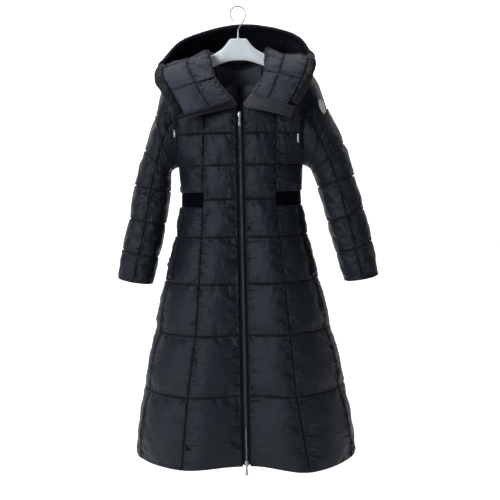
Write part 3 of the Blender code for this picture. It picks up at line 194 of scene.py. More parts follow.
def metal_finish(name, low, high, roughness):
    """Polished cast metal, with faint scratches and rubbed patches."""
    made, tree, shader, where = finish_of(name, {"Metallic": 1.0})
    clouds = noise(tree, where, 140.0, 4.0, 0.6)
    scratches = noise(tree, where, 420.0, 2.0, 0.5, (1, 1, 0.12))
    colour = blend_colours(tree, clouds, low, high)
    rough = clouds * 0.14 + scratches * 0.14 + (roughness - 0.14)
    feed(shader, Base_Color=colour, Roughness=rough, Normal=bump(tree, 0.5, 0.0002, scratches))
    return made


def cell_corners(grid):
    """The four corners of each cell of a grid, in their order round it."""
    return grid[:-1, :-1], grid[:-1, 1:], grid[1:, 1:], grid[1:, :-1]


def unit(vectors):
    return vectors / np.maximum(np.linalg.norm(vectors, axis=-1, keepdims=True), 1e-12)


def run_along(points):
    """How far along a line each of its points lies."""
    return np.concatenate([[0], np.cumsum(np.linalg.norm(np.diff(points, axis=0), axis=1))])


def on_line(at, places, points):
    """Points on a line of points that have places of their own."""
    return np.stack([np.interp(at, places, points[:, k]) for k in range(3)], axis=-1)


def link_mesh(name, points, faces, material, flat=None, seam=None, sharp=60):
    """One object of a closed mesh with its faces outwards; flat is each point's place on the
    uncut cloth and seam is its painted shade: how near it is to a stitched line, and on the neck
    lining the shaded yoke too."""
    points = np.asarray(points, float)
    mesh = bpy.data.meshes.new(name)
    mesh.from_pydata(points.tolist(), [], faces)
    corners = np.empty(len(mesh.loops), int)
    mesh.loops.foreach_get("vertex_index", corners)
    starts = np.empty(len(mesh.polygons), int)
    mesh.polygons.foreach_get("loop_start", starts)
    totals = np.diff(np.append(starts, len(corners)))
    owner = np.repeat(np.arange(len(starts)), totals)
    first = points[corners[starts]][owner]
    ahead = np.append(np.arange(1, len(corners)), 0)
    ahead[np.append(starts[1:], len(corners)) - 1] = starts
    here, there = points[corners], points[corners[ahead]]
    if np.einsum("ij,ij->", first, np.cross(here, there)) < 0:
        mesh.flip_normals()
        mesh.loops.foreach_get("vertex_index", corners)
    if flat is not None:
        mesh.uv_layers.new(name="cloth").data.foreach_set("uv", flat[corners].ravel())
    if seam is not None:
        mesh.attributes.new("seam", "FLOAT", "POINT").data.foreach_set("value", seam.ravel())
    mesh.shade_smooth()
    mesh.set_sharp_from_angle(angle=math.radians(sharp))
    mesh.materials.append(material)
    return new_object(name, mesh)


def tube(name, rings, material, closed=False, sharp=60):
    """A closed mesh through rings of points, its ends filled with fans, or joined if closed."""
    count, sides = rings.shape[:2]
    place = np.arange(count * sides).reshape(count, sides)
    here = place if closed else place[:-1]
    ahead = np.roll(place, -1, axis=0) if closed else place[1:]
    quads = np.stack([here, np.roll(here, -1, 1), np.roll(ahead, -1, 1), ahead], axis=-1)
    faces = quads.reshape(-1, 4).tolist()
    points = rings.reshape(-1, 3)
    if not closed:
        middles = rings[[0, -1]].mean(axis=1)
        points = np.concatenate([points, middles])
        for ring, middle in ((place[0][::-1], count * sides), (place[-1], count * sides + 1)):
            faces += [(int(a), int(b), middle) for a, b in zip(ring, np.roll(ring, -1))]
    girth = np.linalg.norm(rings - np.roll(rings, 1, axis=1), axis=2).sum(axis=1).mean()
    run = run_along(rings.mean(axis=1))
    flat = np.stack(np.meshgrid(np.linspace(0, girth, sides), run), axis=-1).reshape(-1, 2)
    flat = np.concatenate([flat, flat[[0, -1]]]) if not closed else flat
    return link_mesh(name, points, faces, material, flat, np.zeros(len(points)), sharp)


def circle(count):
    """Angles all round, evenly apart."""
    return np.linspace(0, 2 * math.pi, count, endpoint=False)


def squared(values, power):
    """A power of the sizes of some values that keeps their signs."""
    return np.sign(values) * np.abs(values) ** power


def oval_rings(path, across, along, half_across, half_along, sides, power=1.0):
    """Rings of an oval section on a path; a power below 1 makes them squarer."""
    turn = circle(sides)
    cosine, sine = squared(np.cos(turn), power), squared(np.sin(turn), power)
    across, along = np.broadcast_to(across, path.shape), np.broadcast_to(along, path.shape)
    half_across = np.broadcast_to(half_across, (len(path),))[:, None, None]
    half_along = np.broadcast_to(half_along, (len(path),))[:, None, None]
    return (
        path[:, None]
        + cosine[None, :, None] * across[:, None] * half_across
        + sine[None, :, None] * along[:, None] * half_along
    )


def put_on(piece, slot, *nodes, body="coat"):
    """Hides the CAD nodes that a piece stands for and sets it on the body it rides on; slot is not
    used.
    """
    if nodes:
        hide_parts(*nodes)
    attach(piece, body)


CORD_COLUMNS = ("top", "length", "tip", "sway")
CORD_ENDS = {
    "right": ((-0.17883, -0.15695, -0.33331), 0.033, 0.020, -0.002),
    "left": ((0.15948, -0.15216, -0.31316), 0.070, 0.024, 0.002),
}
CORE_DIAMETER = 0.005
GATHER, RING_APART = 0.0037, 0.0006  # from one gather of the sleeve, or one ring, to the next
SLEEVE_RADIUS, GATHER_DEPTH = 0.0056, 0.0011
TIP_PROFILE = (  # share of the tip's length, radius
    (0, 0.0008), (0.0, 0.0030), (0.06, 0.0034), (0.14, 0.0034), (0.18, 0.0029), (0.30, 0.0028),
    (0.34, 0.0033), (0.44, 0.0034), (0.80, 0.0034), (0.93, 0.0031), (1.0, 0.0022), (1.0, 0.0006),
)  # fmt: skip

cord_cloth = cloth_finish(
    "gathered_cord", (0.003, 0.003, 0.004), (0.008, 0.008, 0.010), 0.62, 0.0009, 0.10, 0.0006,
    specular=0.25, sheen=(0.03, 0.4),
)  # fmt: skip
bright_metal = metal_finish("bright_metal", (0.34, 0.34, 0.31), (0.52, 0.52, 0.48), 0.30)

for side, hand in HANDS:
    of = dict(zip(CORD_COLUMNS, CORD_ENDS[hand]))
    draw = np.random.default_rng(11 if side < 0 else 12)
    share = np.linspace(0, 1, 16)
    drift = of["sway"] * (1 - np.cos(share * math.pi))
    drop = -of["length"] * share
    route = np.array(of["top"]) + np.stack([drift, 0 * share, drop], axis=1)
    curve = bpy.data.curves.new(f"cord_core_{hand}", "CURVE")
    curve.dimensions = "3D"
    curve.bevel_depth = CORE_DIAMETER / 2
    curve.use_fill_caps = True
    spline = curve.splines.new("POLY")
    spline.points.add(len(route) - 1)
    for point, place in zip(spline.points, route):
        point.co = (*place, 1)
    curve.materials.append(cord_cloth)
    core = new_object(f"cord_core_{hand}", curve)

    rings_on = int(of["length"] / RING_APART)
    turn = circle(24)
    run = np.linspace(0, of["length"], rings_on)
    wander = np.cumsum(draw.normal(0, 0.055, rings_on))
    phase = 2 * math.pi * run[:, None] / GATHER + wander[:, None]
    phase = phase + 0.7 * np.sin(turn + draw.uniform(0, 6)) + 0.35 * np.sin(2 * turn + 1)
    ridge = np.abs(np.sin(phase / 2)) ** 0.8
    ends = np.clip(np.minimum(run, of["length"] - run) / 0.0022, 0, 1)[:, None] ** 0.5
    uneven = 1 + 0.05 * np.sin(run * 210)[:, None]
    radius = (SLEEVE_RADIUS - GATHER_DEPTH + 2 * GATHER_DEPTH * ridge) * uneven
    radius = radius * (0.62 + 0.38 * ends)
    middle = on_line(run, -drop, route)
    around = np.stack([np.cos(turn), np.sin(turn), 0 * turn], axis=1)
    rings = middle[:, None] + radius[..., None] * around[None]
    ruched = tube(f"cord_sleeve_{hand}", rings, cord_cloth)

    foot = route[-1] - (0, 0, 0.0003)
    profile = np.array(TIP_PROFILE)
    path = foot - np.outer(profile[:, 0] * of["tip"], (0, 0, 1.0))
    rings = oval_rings(path, ACROSS, DEEP, profile[:, 1], profile[:, 1], 24)
    tip = tube(f"metal_cord_tip_{hand}", rings, bright_metal, sharp=35)
    put_on(core, "drawcord", f"drawcord_{hand}")
    put_on(ruched, "drawcord")
    put_on(tip, "metal", f"cord_tip_{hand}")

# ------------------------------------------------------------------ quilted body
# Front, side and back panels of downproof nylon, filled with down, sewn together in lengths and
# quilted level all round. The stitches pull each seam flat, and the cloth between them balloons.

CLOTH = 0.003  # thickness of a panel where it is stitched through
SEAM_ROOM = 0.00005  # half the room between two sewn panels
ZIP_HALF = 0.0104  # half the width between the two front edges
SHOULDER_SLOPE = 0.4375
NECK_POINT_X = 0.088
SHOULDER_TIP_X = 0.193
SHOULDER_AT_NECK = -0.1393
CELL_LENGTH = 0.0056  # between two points of the cloth that is blown up


def shoulder_z(x):
    return SHOULDER_AT_NECK - SHOULDER_SLOPE * (x - NECK_POINT_X)


def hermite(near, leave, far, reach, share):
    """The curve from near to far that leaves and arrives along two directions."""
    square, cube = share**2, share**3
    return (
        (2 * cube - 3 * square + 1) * near
        + (cube - 2 * square + share) * leave
        + (3 * square - 2 * cube) * far
        + (cube - square) * reach
    )


def smooth(pick, place, last):
    """The smooth curve through a list of points; pick gives the points at some indices."""
    start = np.clip(place.astype(int), 0, last - 1)
    near, far = pick(start), pick(start + 1)
    before, after = pick(np.maximum(start - 1, 0)), pick(np.minimum(start + 2, last))
    room = start.shape + (1,) * (near.ndim - start.ndim)
    leave = np.where((start == 0).reshape(room), far - near, (far - before) / 2)
    reach = np.where((start == last - 1).reshape(room), far - near, (after - near) / 2)
    return hermite(near, leave, far, reach, (place - start).reshape(room))


def through(points, place):
    """Points on the smooth curve through a list of points, at places counted in points."""
    points = np.asarray(points, float)
    place = np.atleast_1d(np.asarray(place, float))
    return smooth(lambda at: points[at], place, len(points) - 1)


ARMPIT = np.array((0.183, 0.0, -0.4655))
SHOULDER_TIP = np.array((SHOULDER_TIP_X, 0.0, shoulder_z(SHOULDER_TIP_X)))
ARMHOLE_DEPTH, ARMHOLE_HOLLOW = 0.084, 0.006


def armhole(turn):
    """The armhole on the +X side: 0 is the armpit, 90 the front, 180 the shoulder, 270 the back."""
    turn = np.radians(turn)
    middle, rise = (ARMPIT + SHOULDER_TIP) / 2, (SHOULDER_TIP - ARMPIT) / 2
    loop = middle - np.cos(turn)[..., None] * rise
    loop[..., Y] -= np.sin(turn) * ARMHOLE_DEPTH
    loop[..., X] -= np.sin(turn) ** 2 * ARMHOLE_HOLLOW
    return loop


def armhole_normal(turn):
    """Halfway between the body's and the sleeve's outsides, round the armhole."""
    turn = np.radians(turn)
    out = np.stack([0.05 + 0.57 * np.cos(turn) ** 2, -np.sin(turn), -0.77 * np.cos(turn)], axis=-1)
    under = np.clip(np.cos(turn), 0, 1)[..., None] ** 4
    return unit(out) * (1 + 0.41 * under)


# One row for each level seam from the hem to the armpit, with the princess seams between.
LEVEL_COLUMNS = (
    "name", "z", "front_y", "right_seam_x", "left_seam_x", "seam_y",
    "left_side_x", "right_side_x", "back_seam_x", "back_seam_y", "back_y",
    "left_seam_drop", "left_side_drop",
)  # fmt: skip
LEVEL_ROWS = (
    ("hem", -1.326, -0.178, 0.183, 0.180, -0.203, 0.327, 0.330, 0.172, 0.196, 0.205, 0.014, 0.007),
    ("calf", -1.1225, -0.170, 0.162, 0.146, -0.186, 0.294, 0.297, 0.152, 0.180, 0.190, 0.003,
     0.002),
    ("knee", -0.9506, -0.156, 0.137, 0.130, -0.166, 0.255, 0.261, 0.132, 0.160, 0.172, 0, 0),
    ("thigh", -0.805, -0.142, 0.124, 0.118, -0.145, 0.221, 0.228, 0.118, 0.138, 0.152, 0, 0),
    ("hip", -0.672, -0.124, 0.115, 0.107, -0.120, 0.190, 0.193, 0.106, 0.112, 0.126, 0, 0),
    ("waist", -0.5636, -0.110, 0.109, 0.099, -0.098, 0.1755, 0.1755, 0.098, 0.090, 0.100, 0, 0),
    ("armpit", -0.4655, -0.118, 0.107, 0.099, -0.107, 0.183, 0.183, 0.100, 0.098, 0.108, 0, 0),
)  # fmt: skip
YOKE_COLUMNS = ("name", "front", "seam", "armhole_turn", "back_seam", "back")
ARCH = 0.0060  # how far the cloth has fallen where it leaves the hanger's arm
YOKE_ROWS = (
    ("chest", (ZIP_HALF, -0.121, -0.375), (0.1025, -0.109, -0.375), 69,
     (0.104, 0.104, -0.375), (0, 0.114, -0.375)),
    ("neck", (ZIP_HALF, -0.120, -0.303), (0.104, -0.103, -0.300), 95,
     (0.108, 0.102, -0.300), (0, 0.112, -0.300)),
    ("yoke", (0.066, -0.078, -0.225), (0.122, -0.072, -0.226), 133,
     (0.122, 0.074, -0.226), (0, 0.098, -0.228)),
    ("arch", (0.0865, -0.020, shoulder_z(0.0865) - ARCH), (0.138, -0.021, shoulder_z(0.138) - ARCH),
     165, (0.138, 0.021, shoulder_z(0.138) - ARCH), (0, 0.085, -0.184)),
    ("shoulder", (NECK_POINT_X, 0, shoulder_z(NECK_POINT_X)), (0.140, 0, shoulder_z(0.140)), 180,
     (0.140, 0, shoulder_z(0.140)), (0, 0.078, -0.160)),
)  # fmt: skip
BACK_NECK_SHARE = 0.62
ARMPIT_ROW, NECK_ROW, YOKE_ROW, SHOULDER_ROW = 6, 8, 9, 11
FRONT, SEAM, SIDE_FRONT, SIDE_BACK, BACK_SEAM, BACK = 0, 1, 2 - 1e-6, 2, 3, 4  # places round a row
NECK_POINT = BACK - BACK_NECK_SHARE
EDGE_EASE = 3  # power by which a move of a cut edge dies away into its panel


def row_place(z):
    """The place in the level rows at a height, between the hem and the armpit."""
    return float(np.interp(z, [row[1] for row in LEVEL_ROWS], range(len(LEVEL_ROWS))))


BAND_BOTTOM_ROW, BAND_TOP_ROW = row_place(-0.586), row_place(-0.545)


def body_rows(side):
    """For each row its points on one side: front, seam, side front, side back, back seam, back."""
    rows = []
    for row in LEVEL_ROWS:
        of = dict(zip(LEVEL_COLUMNS, row))
        hand = "left" if side > 0 else "right"
        seam_drop, side_drop = (side > 0) * of["left_seam_drop"], (side > 0) * of["left_side_drop"]
        edge = (of[f"{hand}_side_x"], 0, of["z"] - side_drop)
        rows.append([
            (ZIP_HALF, of["front_y"], of["z"]),
            (of[f"{hand}_seam_x"], of["seam_y"], of["z"] - seam_drop),
            edge,
            edge,
            (of["back_seam_x"], of["back_seam_y"], of["z"]),
            (0, of["back_y"], of["z"]),
        ])  # fmt: skip
    for row in YOKE_ROWS:
        of = dict(zip(YOKE_COLUMNS, row))
        turn = of["armhole_turn"]
        rows.append([
            of["front"], of["seam"], tuple(armhole(np.array(turn))),
            tuple(armhole(np.array(360 - turn))), of["back_seam"], of["back"],
        ])  # fmt: skip
    return np.array(rows, float)


def row_curve(row, points, place):
    """A row's curve round one side of the coat, from the front's middle to the back's."""
    front, seam, side_front, side_back, back_seam, back = points
    level = row <= ARMPIT_ROW
    out = np.zeros(place.shape + (3,))
    chords = {
        0: (front, seam), 1: (seam, side_front), 2: (side_back, back_seam), 3: (back_seam, back),
    }  # fmt: skip
    at_seam = unit(unit(seam - front) + unit(side_front - seam))
    at_back_seam = unit(unit(back_seam - side_back) + unit(back - back_seam))
    across, backward = np.array(ACROSS), np.array(DEEP)
    leave_front = across if row < YOKE_ROW else unit(seam - front)
    lean = 0.6 if row <= YOKE_ROW else 0
    side_in = backward if level else unit(unit(side_front - seam) + lean * backward)
    side_out = backward if level else unit(unit(back_seam - side_back) + lean * backward)
    directions = {
        0: (leave_front, at_seam), 1: (at_seam, side_in),
        2: (side_out, at_back_seam), 3: (at_back_seam, -across),
    }  # fmt: skip
    if row == SHOULDER_ROW:
        down = unit(seam - front)
        directions[0] = directions[1] = (down, down)
        directions[2] = (-down, -down)
    for part in range(4):
        chosen = np.minimum(place.astype(int), 3) == part
        share = (place[chosen] - part)[:, None]
        near, far = chords[part]
        length = np.linalg.norm(far - near)
        leave, reach = (d * length for d in directions[part])
        out[chosen] = hermite(near, leave, far, reach, share)
        if row == SHOULDER_ROW and part == 3:
            out[chosen] = back_top_edge(share[:, 0], near, back)
    return out


def back_top_edge(share, seam, back):
    """The back's top edge: along the shoulder seam to the neck point, then round the back neck."""
    neck = np.array((NECK_POINT_X, 0, shoulder_z(NECK_POINT_X)))
    bend = 1 - BACK_NECK_SHARE
    on_shoulder = seam + (neck - seam) * np.clip(share / bend, 0, 1)[:, None]
    round_neck = np.clip((share - bend) / BACK_NECK_SHARE, 0, 1)[:, None]
    length = np.linalg.norm(back - neck)
    leave, reach = np.array((-0.2, 1.0, -0.1)) * length, np.array((-1.2, 0, 0)) * length
    curve = hermite(neck, leave, back, reach, round_neck)
    return np.where((share < bend)[:, None], on_shoulder, curve)


def armhole_turn(rows):
    """How far round the armhole its front edge has come at each row."""
    turns = [0] + [row[3] for row in YOKE_ROWS]
    return through(np.array(turns, float), np.asarray(rows, float) - ARMPIT_ROW)


def body_points(side, places, rows):
    """The stitched surface on one side of the coat, as rows of points."""
    points = body_rows(side)
    rows = np.asarray(rows, float)
    grid = through(np.array([row_curve(r, points[r], places) for r in range(len(points))]), rows)
    above = rows > ARMPIT_ROW
    turn = np.where(above, armhole_turn(np.maximum(rows, ARMPIT_ROW)), 0)
    for place, edge_turn in ((SIDE_FRONT, turn), (SIDE_BACK, 360 - turn)):
        part = int(place)
        corners = [row_curve(r, points[r], np.array([place]))[0] for r in range(len(points))]
        edge = through(np.array(corners), rows)
        wanted = np.where(above[:, None], armhole(edge_turn), edge * (1, 0, 1))
        share = places - part if part < place else 1 - (places - part)
        in_part = (places >= part) & (places < part + 1)
        near = np.where(in_part, np.clip(share, 0, 1), 0) ** EDGE_EASE
        grid += (wanted - edge)[:, None] * near[None, :, None]
    front_x = through(points[:, 0], rows)[:, X]
    off_line = np.where(rows < NECK_ROW, ZIP_HALF - front_x, 0)
    grid[..., X] += off_line[:, None] * np.clip(1 - places, 0, 1) ** EDGE_EASE
    grid[..., X] *= side
    return grid


def body_normals(side, places, rows):
    """Directions out of the stitched surface, which lean halfway over along a seam's corner."""
    step = 0.01
    low_place, high_place = places - step, places + step
    low_place = np.where(places < step, 0, low_place)
    high_place = np.where(places > BACK - step, BACK, high_place)
    high_place = np.where(np.isclose(places, SIDE_FRONT, rtol=0, atol=1e-7), SIDE_FRONT, high_place)
    low_place = np.where(np.isclose(places, SIDE_BACK, rtol=0, atol=1e-7), SIDE_BACK, low_place)
    low_row, high_row = np.maximum(rows - step, 0), np.minimum(rows + step, SHOULDER_ROW)
    across = body_points(side, high_place, rows) - body_points(side, low_place, rows)
    up = body_points(side, places, high_row) - body_points(side, places, low_row)
    normals = unit(np.cross(across, up)) * side
    turn = armhole_turn(np.maximum(rows, ARMPIT_ROW))
    for place, edge_turn in ((SIDE_FRONT, turn), (SIDE_BACK, 360 - turn)):
        here = np.isclose(places, place, rtol=0, atol=1e-7)
        on_hole = armhole_normal(edge_turn) * (side, 1, 1)
        edge = np.where((rows > ARMPIT_ROW - 1e-6)[:, None], on_hole, (side, 0.0, 0.0))
        normals[:, here] = edge[:, None]
    ridge = unit(np.array((SHOULDER_SLOPE * side, 0, 1.0)))
    near_top = (np.asarray(rows) > SHOULDER_ROW - 1e-6)[:, None, None]
    behind_neck = np.clip((places - NECK_POINT) / 0.3, 0, 1)[None, :, None]
    at_hole = np.isclose(places, SIDE_BACK, rtol=0, atol=1e-5)[None, :, None]
    blend = np.where(at_hole, 0, near_top * (1 - behind_neck))
    return np.where(blend > 0, unit(normals * (1 - blend) + ridge * blend), normals)


def pillow(share):
    """Height of stuffed cloth across one cell, from 0 at its seams to 1 in its middle."""
    return np.clip(1 - np.abs(2 * share - 1) ** 2.4, 0, 1) ** 0.62


def spaced(seams, counts):
    """Places of grid lines between seams, so many to each cell, and which of them are seams."""
    places = [np.linspace(a, b, n + 1)[:-1] for a, b, n in zip(seams, seams[1:], counts)]
    return np.append(np.concatenate(places), seams[-1]), np.concatenate([[0], np.cumsum(counts)])


WAVES, WAVE_LENGTHS, WAVE_HIGH = 26, (3.2, 12), 0.00014  # lengths in lines of cloth


class Panel:
    """A quilted piece before and after it is blown up.

    flat is its stitched surface and out the directions out of it, as rows of points; sewn marks
    the points on stitches, rise how much of the swelling each point keeps.
    """

    def __init__(self, name, flat, out, row_seams, column_seams, rise=1.0):
        self.name = name
        self.flat, self.out = flat, out
        self.row_seams, self.column_seams = list(row_seams), list(column_seams)
        self.sewn = np.zeros(flat.shape[:2], bool)
        self.sewn[self.row_seams] = True
        self.sewn[:, self.column_seams] = True
        self.rise = np.broadcast_to(np.asarray(rise, float), self.sewn.shape)
        self.full = None

    def by_seam(self):
        """1 by a stitched line and 0 three or more lines of cloth away from it."""
        near = np.zeros(self.sewn.shape)
        spread = self.sewn.copy()
        for reached in (1.0, 1.0, 0.75, 0.4, 0.15):
            near[spread & (near == 0)] = reached
            wider = spread.copy()
            wider[1:] |= spread[:-1]
            wider[:-1] |= spread[1:]
            wider[:, 1:] |= spread[:, :-1]
            wider[:, :-1] |= spread[:, 1:]
            spread = wider
        return near

    def start(self, puff, draw):
        """The cloth before it is blown up: a low pillow over each cell, with small uneven waves."""
        shares = []
        for seams, count in zip((self.row_seams, self.column_seams), self.flat.shape):
            place = np.arange(count)
            low = np.clip(np.searchsorted(seams, place, side="right") - 1, 0, len(seams) - 2)
            seams = np.array(seams)
            shares.append((place - seams[low]) / (seams[low + 1] - seams[low]))
        high = pillow(shares[0])[:, None] * pillow(shares[1])[None, :]
        wave = np.zeros_like(high)
        r, c = np.meshgrid(*(np.arange(n) for n in high.shape), indexing="ij")
        for _ in range(WAVES):
            length, way = draw.uniform(*WAVE_LENGTHS), draw.uniform(0, math.pi)
            size = WAVE_HIGH * length / 6
            wave += size * np.sin(
                (r * math.cos(way) + c * math.sin(way)) * 2 * math.pi / length + draw.uniform(0, 6)
            )
        lift = CLOTH / 2 + self.rise * (puff * high + wave * np.minimum(high * 3, 1))
        return self.flat + self.out * lift[..., None]


BLOWING_FRAMES = 20
FULLNESS_LEVELS = 8
LEAST_FULLNESS, MOST_FULLNESS = 0.012, 0.055  # how much larger it is cut, off seams and by them
MOST_SUNK, MOST_ASIDE = 0.0008, 0.006  # how far cloth may sink, or slide along its panel


def blow_up(panels, puff, most, seed):
    """Fills each panel's cells: its cloth is cut larger than the stitched lines hold it, mostly
    close to them, and is pressed out between them.

    puff is the height of its middle before, and most how far it may stand above its stitches.
    """
    draw = np.random.default_rng(seed)
    starts = [panel.start(puff, draw) for panel in panels]
    points, faces, sewn = [], [], []
    for panel, start in zip(panels, starts):
        rows, columns = start.shape[:2]
        place = sum(len(p) for p in points) + np.arange(rows * columns).reshape(rows, columns)
        quads = np.stack(cell_corners(place), axis=-1).reshape(-1, 4)
        grid = start.reshape(-1, 3)
        a, b, c = (grid[quads[:, k] - place[0, 0]] for k in (0, 1, 2))
        out = panel.out[:-1, :-1].reshape(-1, 3)
        if np.einsum("ij,ij->", np.cross(b - a, c - b), out) < 0:
            quads = quads[:, ::-1]
        points.append(grid)
        faces.append(quads)
        sewn.append((panel.sewn | (panel.rise < 0.02)).ravel())
    mesh = bpy.data.meshes.new("cloth to be blown up")
    mesh.from_pydata(np.concatenate(points).tolist(), [], np.concatenate(faces).tolist())
    made = new_object("cloth to be blown up", mesh)
    group = made.vertex_groups.new(name="sewn")
    group.add(np.flatnonzero(np.concatenate(sewn)).tolist(), 1.0, "REPLACE")
    fullness = made.vertex_groups.new(name="fullness")
    near = np.concatenate([panel.by_seam().ravel() for panel in panels])
    for level in range(1, FULLNESS_LEVELS + 1):
        there = np.flatnonzero(np.round(near * FULLNESS_LEVELS) == level)
        fullness.add(there.tolist(), level / FULLNESS_LEVELS, "REPLACE")
    cloth = made.modifiers.new("Cloth", "CLOTH")
    settings = cloth.settings
    settings.quality = 5
    settings.mass = 0.3
    settings.air_damping = 2.0
    settings.tension_stiffness = settings.compression_stiffness = 22
    settings.shear_stiffness = 6
    settings.bending_stiffness = 1.2
    settings.use_pressure = True
    settings.uniform_pressure_force = 4.0
    settings.vertex_group_mass = "sewn"
    settings.vertex_group_shrink = "fullness"
    settings.shrink_min, settings.shrink_max = -LEAST_FULLNESS, -MOST_FULLNESS
    settings.effector_weights.gravity = 0.0
    cloth.collision_settings.use_collision = False
    cloth.collision_settings.use_self_collision = False
    cloth.point_cache.frame_start, cloth.point_cache.frame_end = 1, BLOWING_FRAMES
    for step in range(1, BLOWING_FRAMES + 1):
        scene.frame_set(step)
    blown = made.evaluated_get(bpy.context.evaluated_depsgraph_get()).data
    found = np.empty(len(blown.vertices) * 3)
    blown.vertices.foreach_get("co", found)
    found = found.reshape(-1, 3)
    bpy.data.objects.remove(made)
    scene.frame_set(1)
    begin = 0
    for panel, start in zip(panels, starts):
        count = start[..., 0].size
        result = found[begin:begin + count].reshape(start.shape)
        begin += count
        seat = panel.flat + panel.out * CLOTH / 2
        moved = result - seat
        out = unit(panel.out)
        height = np.einsum("ijk,ijk->ij", moved, out)
        aside = moved - out * height[..., None]
        soft = most * np.tanh(np.maximum(height, 0) / most)  # the down gives way to a limit
        height = np.where(height > 0, soft, np.maximum(height, -MOST_SUNK))
        slid = np.maximum(np.linalg.norm(aside, axis=-1), 1e-9)
        aside *= np.minimum(1, MOST_ASIDE / slid)[..., None]
        keep = panel.rise[..., None]
        panel.full = seat + (aside + out * height[..., None]) * keep
        panel.full[panel.sewn] = seat[panel.sewn]


def refined(values, breaks):
    """Twice as many rows, on smooth curves that may turn sharply only at the breaks."""
    parts = []
    for low, high in zip(breaks, breaks[1:]):
        parts.append(through(values[low:high + 1], np.arange(2 * (high - low) + 1) / 2)[:-1])
    return np.concatenate([*parts, values[-1:]])


def drawn_in(grid, by=SEAM_ROOM):
    """Pulls a grid's border in a little, to leave room for the next panel."""
    grid = grid.copy()
    for turned in (grid, grid.swapaxes(0, 1)):
        for edge, inside in ((0, 1), (-1, -2)):
            turned[edge] += unit(turned[inside] - turned[edge]) * by
    return grid


def close_shell(name, outer, inner, material, flat, seam, step=8):
    """A closed piece from an outer grid of points and a plain inner one, of which only every
    few lines are kept; step is 1 to keep them all."""
    rows, columns = outer.shape[:2]
    kept_rows = sorted({*range(0, rows - 1, step), rows - 1})
    kept_columns = sorted({*range(0, columns - 1, step), columns - 1})
    used = np.zeros((rows, columns), bool)
    used[[0, -1]] = True
    used[:, [0, -1]] = True
    used[np.ix_(kept_rows, kept_columns)] = True
    place = np.arange(rows * columns).reshape(rows, columns)
    under = np.full((rows, columns), -1)
    under[used] = rows * columns + np.arange(used.sum())
    faces = np.stack(cell_corners(place), axis=-1).reshape(-1, 4).tolist()
    for r0, r1 in zip(kept_rows, kept_rows[1:]):
        for c0, c1 in zip(kept_columns, kept_columns[1:]):
            whole = np.arange(c0, c1 + 1), np.arange(r0, r1 + 1)
            low = whole[0] if r0 == 0 else [c0, c1]
            high = whole[0] if r1 == rows - 1 else [c0, c1]
            start = whole[1] if c0 == 0 else [r0, r1]
            end = whole[1] if c1 == columns - 1 else [r0, r1]
            loop = [*under[r0, low], *under[end, c1][1:], *under[r1, high][::-1][1:],
                    *under[start, c0][::-1][1:-1]]  # fmt: skip
            faces.append([int(i) for i in reversed(loop)])
    ring = [(0, c) for c in range(columns)] + [(r, columns - 1) for r in range(1, rows)]
    ring += [(rows - 1, c) for c in range(columns - 2, -1, -1)]
    ring += [(r, 0) for r in range(rows - 2, 0, -1)]
    for here, there in zip(ring, ring[1:] + ring[:1]):
        faces.append([int(place[there]), int(place[here]), int(under[here]), int(under[there])])
    points = np.concatenate([outer.reshape(-1, 3), inner[used]])
    flat = np.concatenate([flat.reshape(-1, 2), flat[used]])
    seam = np.concatenate([seam.ravel(), seam[used]])
    return link_mesh(name, points, faces, material, flat, seam)


def flat_places(grid):
    """Each point's place on the uncut cloth, measured along the grid's rows and columns."""
    across = np.linalg.norm(np.diff(grid, axis=1), axis=2).mean(axis=0)
    along = np.linalg.norm(np.diff(grid, axis=0), axis=2).mean(axis=1)
    across, along = (np.concatenate([[0], np.cumsum(v)]) for v in (across, along))
    return np.stack(np.meshgrid(across, along), axis=-1)


SEAM_FADE = 0.007


def near_seams(flat, row_seams, column_seams, fade=SEAM_FADE):
    """1 on a stitched line, fading to 0 within a finger's breadth of it."""
    to_rows = np.abs(flat[..., 1][..., None] - flat[row_seams, 0, 1]).min(axis=-1)
    to_columns = np.abs(flat[..., 0][..., None] - flat[0, column_seams, 0]).min(axis=-1)
    return np.exp(-np.minimum(to_rows, to_columns) / fade)


PUCKER_PITCH, PUCKER_LONG = 0.0100, 0.036  # from one pucker to the next, and the longest one
PUCKER_START, KNOTS = 0.003, 400
LIP_HIGH, LIP_FROM_SEAM, LIP_WIDE = 0.0018, 0.0046, 0.0028
STITCH_SUNK, STITCH_WIDE = 0.0010, 0.0012


def puckers(places, row_seams, column_seams, upright, level, draw):
    """Heights of the short folds that run into the stitched lines, where the thread has drawn
    the cloth up; upright and level say how high they stand by the lines each way."""
    total = np.zeros(places.shape[:2])
    for along, across, seams, high in (
        (places[..., 1], places[..., 0], places[0, column_seams, 0], upright),
        (places[..., 0], places[..., 1], places[row_seams, 0, 1], level),
    ):
        gap = across[..., None] - seams
        nearest = np.abs(gap).argmin(axis=-1)
        away = np.take_along_axis(gap, nearest[..., None], axis=-1)[..., 0]
        for seam in range(len(seams)):
            for side in (-1, 1):
                there = (nearest == seam) & (np.sign(away) == side)
                knots = np.cumsum(draw.uniform(0.4, 1.6, KNOTS)) * PUCKER_PITCH / 2
                tall, reach = np.abs(draw.normal(0, 1, KNOTS)), draw.uniform(0.25, 1.0, KNOTS)
                tall[1::2] *= -0.8
                lean = draw.uniform(-0.8, 0.8, KNOTS)
                far = np.abs(away[there])
                place = along[there] + far * np.interp(along[there], knots, lean)
                length = np.interp(place, knots, reach) * PUCKER_LONG
                shape = np.minimum(far / PUCKER_START, 1) * np.exp(-((far / length) ** 1.5))
                total[there] += high * np.interp(place, knots, tall) * shape
    return total


